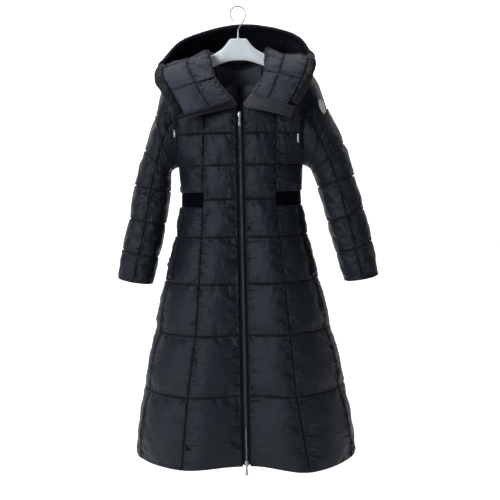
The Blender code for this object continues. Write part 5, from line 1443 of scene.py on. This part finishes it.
TAPE_THICK, TAPE_TOP_Z, TAPE_TUCK = 0.0016, -0.3125, 0.0055
SLIDER_HALF = (0.0048, 0.0030, 0.0085)
TOOTH_PITCH, TOOTH_SIZE = 0.0032, (0.0034, 0.0022, 0.0021)
TOOTH_ASIDE, TOOTH_FORWARD = 0.0011, 0.0008
CORD_BULGE, CORD_AT, CORD_WIDE = 0.0006, 0.0030, 0.0010  # the tape's cord, under its teeth
BRIDGE_HIGH, BRIDGE_HALF_LONG, EYE_WIRE = 0.0034, 0.0062, 0.0006
SLIDERS = {  # middle of each slider and how far its tape leans back over its half height
    "top": ((0.0, -0.127536, -0.3250), 0.043122),
    "bottom": ((0.0, -0.182040, -1.3165), 0.037812),
}


def zip_line(rows):
    """The middle of the front zip, halfway between the two front edges."""
    points = body_points(1, np.array([0.0]), rows)[:, 0]
    points[:, X] = 0
    return points


def zip_row(z):
    rows = np.linspace(0, NECK_ROW, 161)
    return float(np.interp(z, zip_line(rows)[:, Z], rows))


def new_tree(name, sizes):
    """A Geometry Nodes tree with named sizes; returns it with its first and last node."""
    tree = bpy.data.node_groups.new(name, "GeometryNodeTree")
    tree.interface.new_socket("Geometry", in_out="INPUT", socket_type="NodeSocketGeometry")
    for size, kind in sizes.items():
        tree.interface.new_socket(size, in_out="INPUT", socket_type=kind)
    tree.interface.new_socket("Geometry", in_out="OUTPUT", socket_type="NodeSocketGeometry")
    return tree, tree.nodes.new("NodeGroupInput"), tree.nodes.new("NodeGroupOutput")


def run_tree(name, tree, mesh, values):
    """The tree's result on a mesh, as one plain mesh object."""
    made = new_object(name, mesh)
    modifier = made.modifiers.new("made", "NODES")
    modifier.node_group = tree
    for item in tree.interface.items_tree:
        if item.in_out == "INPUT" and item.name in values:
            modifier[item.identifier] = values[item.name]
    found = made.evaluated_get(bpy.context.evaluated_depsgraph_get())
    result = bpy.data.meshes.new_from_object(found)
    made.modifiers.clear()
    made.data = result
    return made


def lines_mesh(name, lines):
    """A mesh of bare edges that follows each line of points."""
    mesh = bpy.data.meshes.new(name)
    edges, begin = [], 0
    for line in lines:
        edges += [(begin + i, begin + i + 1) for i in range(len(line) - 1)]
        begin += len(line)
    mesh.from_pydata(np.concatenate(lines).tolist(), edges, [])
    return mesh


LEAST_BEAD, LARGEST_BEAD = (0.90,) * 3, (1.08,) * 3  # how far the forms' sizes stray


def beads_tree(name, facing):
    """Small forms set along lines, each turned to its line; facing is the direction they show."""
    sizes = {
        "Spacing": "NodeSocketFloat", "Width": "NodeSocketFloat", "Height": "NodeSocketFloat",
        "Length": "NodeSocketFloat", "Sides": "NodeSocketInt", "Material": "NodeSocketMaterial",
    }  # fmt: skip
    tree, begin, end = new_tree(name, sizes)
    given = {size: Wire(begin.outputs[size]) for size in ("Geometry", *sizes)}

    def node(kind, sockets=(), **settings):
        return Wire.of(tree, kind, settings, sockets)

    curve = node("GeometryNodeMeshToCurve", {0: given["Geometry"]})
    points = node(
        "GeometryNodeCurveToPoints", {"Curve": curve, "Length": given["Spacing"]}, mode="LENGTH"
    )
    bead = node(
        "GeometryNodeMeshUVSphere", {"Segments": given["Sides"], "Rings": 4, "Radius": 0.5}
    )
    turn = node(
        "FunctionNodeAxesToRotation",
        {"Primary Axis": Wire(points.socket.node.outputs["Tangent"]), "Secondary Axis": facing},
        primary_axis="Z", secondary_axis="X",
    )  # fmt: skip
    uneven = node(
        "FunctionNodeRandomValue", {0: LEAST_BEAD, 1: LARGEST_BEAD, "Seed": 5},
        data_type="FLOAT_VECTOR",
    )  # fmt: skip
    box = [given[size] for size in ("Width", "Height", "Length")]
    size = node("ShaderNodeCombineXYZ", enumerate(box))
    scaled = node("ShaderNodeVectorMath", {0: size, 1: uneven}, operation="MULTIPLY")
    beads = node(
        "GeometryNodeInstanceOnPoints",
        {"Points": points, "Instance": bead, "Rotation": turn, "Scale": scaled},
    )
    real = node("GeometryNodeRealizeInstances", {0: beads})
    rounded = node("GeometryNodeSetShadeSmooth", {0: real})
    painted = node(
        "GeometryNodeSetMaterial", {"Geometry": rounded, "Material": given["Material"]}
    )
    tree.links.new(painted.socket, end.inputs[0])
    return tree


def set_along(name, lines, facing, sizes, material, slot, *nodes, sides=5):
    """One piece of small forms along lines, such as stitches or teeth; sizes are from one to the
    next, then each one's width, height and length."""
    values = dict(zip(("Spacing", "Width", "Height", "Length"), sizes))
    values.update(Sides=sides, Material=material)
    made = run_tree(name, beads_tree(name, facing), lines_mesh(name, lines), values)
    put_on(made, slot, *nodes)


teeth_metal = metal_finish("zip_teeth", (0.10, 0.105, 0.115), (0.24, 0.25, 0.27), 0.36)
reach = SLIDER_HALF[Z] + 0.0004
chain_low = zip_row(SLIDERS["bottom"][0][Z] + reach)
chain_high = zip_row(SLIDERS["top"][0][Z] - reach)
tape_rows = np.linspace(0.02, zip_row(TAPE_TOP_Z), 300)
for side, hand in HANDS:
    line = zip_line(tape_rows)
    columns = np.linspace(0.0002, ZIP_HALF + TAPE_TUCK, 12)
    face = np.repeat(line[:, None], len(columns), axis=1)
    face[..., X] = side * columns
    outer, under = face.copy(), face.copy()
    cord_bulge = CORD_BULGE * np.exp(-(((columns - CORD_AT) / CORD_WIDE) ** 2))
    outer[..., Y] -= TAPE_THICK / 2 + cord_bulge
    under[..., Y] += TAPE_THICK / 2
    tucked = np.clip((columns - ZIP_HALF + 0.0034) / 0.0028, 0, 1)
    for faces in (outer, under):
        faces[..., Y] += 0.0036 * tucked * tucked * (3 - 2 * tucked)
    flat = flat_places(outer)
    seam = near_seams(flat, [0, len(line) - 1], [len(columns) - 1], 0.002)
    made = close_shell(f"woven_zip_tape_{hand}", outer, under, tape_cloth, flat, seam)
    lay_sheet(made, outer, "laid", "zip_tape", f"zip_tape_{hand}")

tooth_rows = np.linspace(chain_low, chain_high, 600)
tooth_line = zip_line(tooth_rows) - (0, TAPE_THICK / 2 + TOOTH_FORWARD, 0)
for (side, hand), shift, nodes in zip(HANDS, (0.0, 0.5), (("zip_chain",), ())):
    line = tooth_line + (side * TOOTH_ASIDE, 0, 0)
    kept = run_along(line) > shift * TOOTH_PITCH
    set_along(
        f"zip_teeth_{hand}", [line[kept]], ACROSS, (TOOTH_PITCH, *TOOTH_SIZE), teeth_metal,
        "metal", *nodes, sides=8,
    )  # fmt: skip


SLIDER_PROFILE = (  # shares of its half depth, and of its half width and height there
    (1.0, 0.30), (1.0, 0.84), (0.86, 0.95), (0.55, 1.0), (0.22, 1.0), (0.16, 0.90),
    (-0.10, 0.90), (-0.16, 1.0), (-0.55, 1.0), (-0.84, 0.93), (-0.98, 0.80), (-1.0, 0.30),
)  # fmt: skip


def slider_rings(centre, slope, taper):
    """A cast slider: a shield with rounded edges and a raised bridge that the pull swings on."""
    turn = circle(64)
    outline_x, outline_z = squared(np.cos(turn), 0.45), squared(np.sin(turn), 0.55)
    widen = 1 + (taper - 1) * (1 - outline_z) / 2
    waist = 1 - 0.10 * np.exp(-((outline_z / 0.35) ** 2))
    rings = []
    for depth, size in SLIDER_PROFILE:
        x = outline_x * SLIDER_HALF[X] * size * widen * waist
        z = outline_z * SLIDER_HALF[Z] * size
        y = depth * SLIDER_HALF[Y] + slope * z
        rings.append(np.stack([centre[X] + x, centre[Y] + y, centre[Z] + z], axis=1))
    return np.array(rings)


def rounded_bar(path, across, half_across, half_deep, power=0.6, sides=16):
    """Rings of a rounded bar on a path, whose width runs along the direction across."""
    path = np.asarray(path, float)
    ahead = unit(np.gradient(path, axis=0))
    deep = unit(np.cross(ahead, across))
    return oval_rings(path, across, deep, half_across, half_deep, sides, power)


PULL_HALF_THICK = 0.0010
PULL_PROFILE = (  # shares of the pull's length, half width and half thickness
    (0.09, 0.30, 0.7), (0.12, 0.46, 0.9), (0.17, 0.58, 1.0), (0.26, 0.60, 1.0),
    (0.38, 0.66, 1.0), (0.50, 0.74, 1.0), (0.62, 0.84, 1.0), (0.76, 0.95, 1.0),
    (0.88, 1.0, 1.0), (0.95, 0.97, 1.0), (0.985, 0.80, 0.9), (1.0, 0.45, 0.5),
)  # fmt: skip
PULLS = {  # length, half width, body it rides on, the slider's taper
    "top": (0.032, 0.0034, "top_pull", 0.8),
    "bottom": (0.033, 0.0048, "bottom_pull", 1.25),
}
for name, (centre, slope) in SLIDERS.items():
    length, half_width, body, taper = PULLS[name]
    slider = tube(f"cast_slider_{name}", slider_rings(centre, slope, taper), bright_metal, sharp=40)
    lean = slope * SLIDER_HALF[Z]
    pivot = np.array((0.0, centre[Y] - SLIDER_HALF[Y] - lean - 0.0016, centre[Z]))
    arch = np.linspace(0, math.pi, 15)
    bridge_path = np.stack([
        0 * arch, centre[Y] - SLIDER_HALF[Y] * 0.7 - BRIDGE_HIGH * np.sin(arch),
        centre[Z] + BRIDGE_HALF_LONG * np.cos(arch),
    ], axis=1)  # fmt: skip
    rings = rounded_bar(bridge_path, ACROSS, 0.0010, EYE_WIRE)
    bridge = tube(f"slider_bridge_{name}", rings, bright_metal)
    eye_turn = circle(28)
    eye_path = pivot + np.stack([
        0.0024 * np.cos(eye_turn), 0 * eye_turn, 0.0022 * np.sin(eye_turn) - 0.0018,
    ], axis=1)  # fmt: skip
    ahead = unit(np.roll(eye_path, -1, 0) - np.roll(eye_path, 1, 0))
    rings = oval_rings(eye_path, DEEP, np.cross(ahead, DEEP), EYE_WIRE, EYE_WIRE, 10)
    eye = tube(f"pull_eye_{name}", rings, bright_metal, closed=True)
    drops, half_widths, thick = np.array(PULL_PROFILE).T
    pull_path = pivot - np.outer(drops * length, (0, 0, 1.0)) - (0, 0.0004, 0)
    rings = rounded_bar(
        pull_path, ACROSS, half_widths * half_width, thick * PULL_HALF_THICK, 0.5, 20
    )
    pull = tube(f"cast_pull_{name}", rings, bright_metal, sharp=40)
    put_on(slider, "metal", f"slider_{name}")
    put_on(bridge, "metal")
    put_on(eye, "metal", body=body)
    put_on(pull, "metal", f"pull_{name}", body=body)

# ------------------------------------------------------------------ pockets
# A slanting zipped pocket in each side front: a dark zip let into the panel, under a narrow
# folded welt of the coat's own nylon that is tacked down at both ends.

POCKET_LIP, POCKET_TOP, POCKET_LIFT, WELT_HIGH = 0.72, 4.62, 0.0012, 0.0060
WELT_COUNT, WELT_LINES = 13, 130
POCKET_TEETH = (0.0026, 0.0032, 0.0016, 0.0016)


def on_panel(panel, panel_rows, panel_shares, rows, shares):
    """Points and outside directions on a finished panel, at its own rows and shares across."""
    row = np.interp(rows, panel_rows, np.arange(len(panel_rows)))
    column = np.interp(shares, panel_shares, np.arange(len(panel_shares)))
    r = np.minimum(row.astype(int), len(panel_rows) - 2)
    c = np.minimum(column.astype(int), len(panel_shares) - 2)
    u, v = (row - r)[:, None, None], (column - c)[None, :, None]
    found = []
    for grid in (panel.full, panel.out):
        low = grid[np.ix_(r, c)] * (1 - v) + grid[np.ix_(r, c + 1)] * v
        high = grid[np.ix_(r + 1, c)] * (1 - v) + grid[np.ix_(r + 1, c + 1)] * v
        found.append(low * (1 - u) + high * u)
    return found[0], unit(found[1])


for side, hand in HANDS:
    panel, panel_rows, panel_shares = body_parts[f"front_side_lower_{hand}"]
    rows = np.linspace(POCKET_LOW + 0.03, POCKET_TOP, WELT_LINES)
    for part, low, high, rise, material, slot in (
        ("welt", POCKET_LINE - 0.035, POCKET_LIP, WELT_HIGH, shell, "down_shell"),
        ("zip", POCKET_LINE - 0.085, POCKET_LINE - 0.030, 0.0012, tape_cloth, "zip_tape"),
    ):  # fmt: skip
        shares = np.linspace(low, high, WELT_COUNT)
        seat, out = on_panel(panel, panel_rows, panel_shares, rows, shares)
        seat = eased(np.swapaxes(eased(seat, 4), 0, 1), 2).swapaxes(0, 1)
        crown = np.sin(np.linspace(0.04, 1, WELT_COUNT) * math.pi * 0.96) ** 0.45
        ends = np.clip(np.minimum(np.arange(WELT_LINES), np.arange(WELT_LINES)[::-1]) / 5, 0.15, 1)
        run = np.linspace(0, 1, WELT_LINES)[:, None]
        uneven = 1 + 0.12 * np.sin(run * 31 + side) * np.sin(run * 12 + 1)
        lift = POCKET_LIFT + rise * crown[None, :] * ends[:, None] * uneven
        outer, under = seat + out * lift[..., None], seat - out * 0.0006
        name, node = f"pocket_{part}_cloth_{hand}", f"pocket_{part}_{hand}"
        made = sewn_strip(name, outer, under, material, 0.0025, step=4)
        if part == "welt":
            lay_sheet(made, outer, "folded", slot, node, rests_on=[panel.name])
        else:
            put_on(made, slot, node)
            teeth_line = (outer + out * 0.0006)[:, WELT_COUNT // 2]
            set_along(
                f"pocket_zip_teeth_{hand}", [teeth_line], ACROSS, POCKET_TEETH, tape_cloth,
                "zip_tape", sides=6,
            )  # fmt: skip

# ------------------------------------------------------------------ sleeve patch
# A plain oval patch of off-white felt, edged with a satin stitch and sewn on the upper sleeve.

BADGE_TURNS, BADGE_ROWS = (120, 141), (1.42, 1.78)
BADGE_HALF, BADGE_LIFT, BADGE_ROUNDING = (0.0170, 0.0215), 0.0010, 0.0007
BADGE_RINGS, BADGE_SPOKES = 12, 64
SATIN_SIZES = (0.0009, 0.0012, 0.0030, 0.0009)

panel, panel_rows, panel_turns = sleeve_parts["sleeve_top_left"]
rows, turns = np.linspace(*BADGE_ROWS, 15), np.linspace(*BADGE_TURNS, 15)
seat, out = on_panel(panel, panel_rows, panel_turns, rows, turns)
felt = cloth_finish(
    "patch_felt", (0.50, 0.48, 0.43), (0.70, 0.68, 0.62), 0.85, 0.0007, 0.20, 0.0003,
    specular=0.2, sheen=(0.2, 0.6),
)  # fmt: skip
middle, out_way = seat.mean(axis=(0, 1)), unit(out.mean(axis=(0, 1)))
down_way = unit(seat[-1].mean(axis=0) - seat[0].mean(axis=0))
down_way = unit(down_way - out_way * np.dot(down_way, out_way))
side_way = np.cross(down_way, out_way)
flat_seat = seat.reshape(-1, 3) - middle
a, b = flat_seat @ side_way, flat_seat @ down_way
fit = np.stack([np.ones_like(a), a, b, a * a, b * b, a * b], axis=1)
bend, *_ = np.linalg.lstsq(fit, flat_seat @ out_way, rcond=None)
over = float((flat_seat @ out_way - fit @ bend).max())


def on_patch(across, down, lift):
    """A point on the patch's smooth seat, a little above the sleeve."""
    terms = np.stack([np.ones_like(across), across, down, across**2, down**2, across * down], -1)
    high = terms @ bend + over + lift
    place = middle + across[..., None] * side_way + down[..., None] * down_way
    return place + high[..., None] * out_way


ring = np.linspace(0, 1, BADGE_RINGS)
spoke = circle(BADGE_SPOKES)
across = np.outer(ring, np.cos(spoke)) * BADGE_HALF[0]
down = np.outer(ring, np.sin(spoke)) * BADGE_HALF[1]
raised = BADGE_LIFT - BADGE_ROUNDING * np.clip((ring - 0.86) / 0.14, 0, 1) ** 2
top = on_patch(across, down, raised[:, None] * np.ones(BADGE_SPOKES))
foot = on_patch(across[::-1], down[::-1], np.full((BADGE_RINGS, BADGE_SPOKES), -0.0006))
patch = tube("plain_sleeve_patch", np.concatenate([top[1:], foot[:-1]]), felt)
put_on(patch, "badge", "arm_badge")
edge_turn = np.linspace(0, 2 * math.pi, 150)
edge = on_patch(
    np.cos(edge_turn) * BADGE_HALF[0] * 0.95, np.sin(edge_turn) * BADGE_HALF[1] * 0.95,
    np.full(150, 0.0012),
)  # fmt: skip
white_thread = cloth_finish(
    "white_thread", (0.46, 0.44, 0.40), (0.62, 0.60, 0.55), 0.6, 0.0004, 0.10, 0.0002
)  # fmt: skip
set_along("patch_satin_edge", [edge], tuple(out_way), SATIN_SIZES, white_thread, "badge", sides=6)

# ------------------------------------------------------------------ hanger
# A moulded hanger of glossy white plastic, thick and rounded at the shoulders, with a swivel
# hook of polished wire.

HANGER_ROWS = (  # x, top, bottom, half its depth
    (0.0, -0.0920, -0.1550, 0.0085), (0.018, -0.0920, -0.1556, 0.0085),
    (0.0255, -0.0945, -0.1566, 0.0085), (0.034, -0.1050, -0.1585, 0.0090),
    (0.046, -0.1190, -0.1625, 0.0095), (0.066, -0.1325, -0.1695, 0.0085),
    (0.088, -0.1428, -0.1785, 0.0085), (0.130, -0.1606, -0.1935, 0.0090),
    (0.168, -0.1764, -0.2080, 0.0100), (0.180, -0.1817, -0.2090, 0.0085),
    (0.185, -0.1878, -0.2050, 0.0055),
)  # fmt: skip
HANGER_FINE, HANGER_SIDES = 8, 32
half_rows = np.array(HANGER_ROWS)
mirrored = half_rows[:0:-1] * (-1, 1, 1, 1)
table = np.concatenate([mirrored, half_rows])
fine = through(table, np.linspace(0, len(table) - 1, (len(table) - 1) * HANGER_FINE + 1))
turn = circle(HANGER_SIDES)
below = np.sin(turn) < 0
sine = squared(np.sin(turn), np.where(below, 0.90, 0.82))
cosine = squared(np.cos(turn), np.where(below, 1.5, 0.82))
half = (fine[:, 1] - fine[:, 2]) / 2
rings = np.stack([
    np.repeat(fine[:, :1], HANGER_SIDES, axis=1),
    fine[:, 3, None] * cosine[None],
    ((fine[:, 1] + fine[:, 2]) / 2)[:, None] + half[:, None] * sine[None],
], axis=-1)  # fmt: skip
plastic, tree, shader, where = finish_of("white_plastic")
clouds = noise(tree, where, 22.0, 3.0)
scuffs = noise(tree, where, 300.0, 3.0, 0.6, (0.2, 1, 1))
colour = blend_colours(tree, clouds, (0.78, 0.79, 0.77), (0.84, 0.85, 0.83))
relief = bump(tree, 0.25, 0.0004, scuffs * 0.4 + clouds)
rough = clouds * 0.10 + scuffs * 0.12 + 0.24
feed(shader, Base_Color=colour, Roughness=rough, Normal=relief)
put_on(tube("moulded_hanger", rings, plastic), "hanger_plastic", "hanger")

HOOK_RADIUS, WIRE_RADIUS, HOOK_REACH = 0.0225, 0.0022, 236
STEM_FOOT, STEM_BEND = -0.0950, -0.0720  # where the wire enters the hanger, and starts to bend
COLLAR_PROFILE = (  # z, radius
    (-0.0935, 0.0030), (-0.0925, 0.0052), (-0.0905, 0.0054), (-0.0895, 0.0048),
    (-0.0885, 0.0040), (-0.0868, 0.0038), (-0.0862, 0.0026),
)  # fmt: skip
hook_middle = np.array((0.0, -HOOK_RADIUS + WIRE_RADIUS))
stem_z = np.linspace(STEM_FOOT, hook_middle[1] - 0.012, 24)
high = -HOOK_RADIUS + WIRE_RADIUS - 0.006
share = np.clip((high - stem_z) / (high - STEM_BEND), 0, 1)
stem = np.stack([HOOK_RADIUS * (1 - share * share * (3 - 2 * share)), stem_z], axis=1)
arc_turn = np.radians(np.linspace(0, HOOK_REACH, 60))
arc = hook_middle + HOOK_RADIUS * np.stack([np.cos(arc_turn), np.sin(arc_turn)], axis=1)
route = np.concatenate([stem, arc])
path = np.stack([route[:, 0], np.zeros(len(route)), route[:, 1]], axis=1)
ahead = unit(np.gradient(path, axis=0))
radius = np.full(len(path), WIRE_RADIUS)
radius[-4:] *= (1.0, 0.92, 0.75, 0.42)
rings = oval_rings(path, np.cross(ahead, DEEP), DEEP, radius, radius, 16)
put_on(tube("wire_hook", rings, bright_metal), "metal", "hanger_hook")
collar_path = np.array([(0.0, 0.0, z) for z, _ in COLLAR_PROFILE])
collar_radius = np.array([r for _, r in COLLAR_PROFILE])
rings = oval_rings(collar_path, ACROSS, DEEP, collar_radius, collar_radius, 24)
put_on(tube("hook_collar", rings, bright_metal, sharp=35), "metal")

# ------------------------------------------------------------------ stitching
# Lockstitch in black thread along every quilting line and seam, and in grey thread on the
# lining and the facings.

TO_FRONT = (0.0, -1.0, 0.0)
SHELL_STITCH = (0.0042, 0.0007, 0.0007, 0.0034)  # one to the next, width, height, length
LINING_STITCH = (0.0036, 0.0007, 0.0007, 0.0028)
FACING_STITCHES = {"right": 3, "left": 7}
dark_thread = cloth_finish(
    "dark_thread", (0.004, 0.004, 0.005), (0.012, 0.012, 0.014), 0.7, 0.0004, 0.10, 0.0002
)  # fmt: skip
grey_thread = cloth_finish(
    "grey_thread", (0.018, 0.018, 0.022), (0.040, 0.040, 0.048), 0.7, 0.0004, 0.10, 0.0002
)  # fmt: skip


def panel_seams(panel):
    """The stitched lines across and along a panel, a little above its cloth."""
    raised = panel.full - unit(panel.out) * (STITCH_SUNK - 0.0004)
    lines = [raised[row] for row in panel.row_seams[1:-1]]
    return lines + [raised[:, column] for column in panel.column_seams[1:-1]]


shell_lines, lining_lines = [], []
for panel, *_ in (*body_parts.values(), *sleeve_parts.values()):
    shell_lines += panel_seams(panel)
for node, panel in hood_parts.items():
    (shell_lines if node == "hood_back" else lining_lines).extend(panel_seams(panel))
for side, hand in HANDS:
    panel, *_ = body_parts[f"front_centre_{hand}"]
    below = len(panel.full) * 3 // 4
    edge = panel.full[:below, 0] + unit(panel.out[:below, 0]) * 0.0005
    shell_lines.append(edge + (side * 0.0012, 0, 0))
set_along("quilting_stitches", shell_lines, TO_FRONT, SHELL_STITCH, dark_thread, "down_shell")
for hand, (grid, out) in facing_grids.items():
    raised = grid + out * 0.0003
    for line in np.linspace(3, FACING_ACROSS - 4, FACING_STITCHES[hand]).round().astype(int):
        lining_lines.append(raised[line, 3:-3])
set_along("lining_stitches", lining_lines, TO_FRONT, LINING_STITCH, grey_thread, "lining")

# ------------------------------------------------------------------ studio
# A pale sweep of paper behind and below the coat, clear when seen from behind, and soft light
# from large boxes.

SWEEP = (  # y, z
    (-2.2, -1.72), (0.6, -1.72), (1.3, -1.66), (1.7, -1.45), (1.95, -1.05), (2.0, -0.5), (2.0, 2.2),
)  # fmt: skip
profile = through(np.array(SWEEP), np.linspace(0, len(SWEEP) - 1, 49))
sweep_points = [(x, y, z) for y, z in profile for x in (-4.0, 4.0)]
sweep_faces = [(2 * i, 2 * i + 1, 2 * i + 3, 2 * i + 2) for i in range(len(profile) - 1)]
sweep_mesh = bpy.data.meshes.new("paper_sweep")
sweep_mesh.from_pydata(sweep_points, [], sweep_faces)
sweep_mesh.shade_smooth()
paper, tree, shader, where = finish_of("paper", {"Roughness": 0.9})
share = noise(tree, where, 3.0)
feed(shader, Base_Color=blend_colours(tree, share, (0.90, 0.90, 0.90), (0.93, 0.93, 0.93)))
from_behind = Wire.of(tree, "ShaderNodeNewGeometry", out="Backfacing")
clear = Wire.of(tree, "ShaderNodeBsdfTransparent")
shaders = {0: from_behind, 1: Wire(shader.outputs[0]), 2: clear}
either = Wire.of(tree, "ShaderNodeMixShader", sockets=shaders)
feed(tree.nodes["Material Output"], Surface=either)
sweep_mesh.materials.append(paper)
new_object("paper_sweep", sweep_mesh)

world = bpy.data.worlds.new("studio")
world.use_nodes = True
sky = world.node_tree.nodes["Background"].inputs
sky["Color"].default_value = (0.74, 0.87, 1.0, 1)
sky["Strength"].default_value = 0.10
scene.world = world

DAY_TINT, WALL_TINT = (0.84, 0.92, 1.0), (1.0, 1.0, 1.0)
LIGHT_COLUMNS = ("name", "place", "aim", "width", "height", "power")
LIGHTS = (
    ("key", (-1.9, -2.6, 0.35), (0, 0, -0.6), 1.0, 1.3, 82),
    ("fill", (1.8, -2.4, -0.3), (0, 0, -0.8), 0.9, 1.6, 4),
    ("low", (-0.4, -2.9, -1.3), (0, 0, -1.1), 1.4, 0.7, 8),
    ("back wall", (0.0, 0.5, 1.5), (0, 2.0, -0.6), 3.4, 0.8, 62),
    ("floor", (0.0, 1.0, 0.3), (0, 2.0, -1.7), 2.5, 0.8, 31),
)
for row in LIGHTS:
    of = dict(zip(LIGHT_COLUMNS, row))
    light = bpy.data.lights.new(of["name"], "AREA")
    light.shape = "RECTANGLE"
    light.size, light.size_y, light.energy = of["width"], of["height"], of["power"]
    light.color = WALL_TINT if of["name"] in ("back wall", "floor") else DAY_TINT
    lamp = new_object(of["name"], light)
    lamp.location = of["place"]
    aim = Vector(of["aim"]) - lamp.location
    lamp.rotation_euler = aim.to_track_quat("-Z", "Y").to_euler()
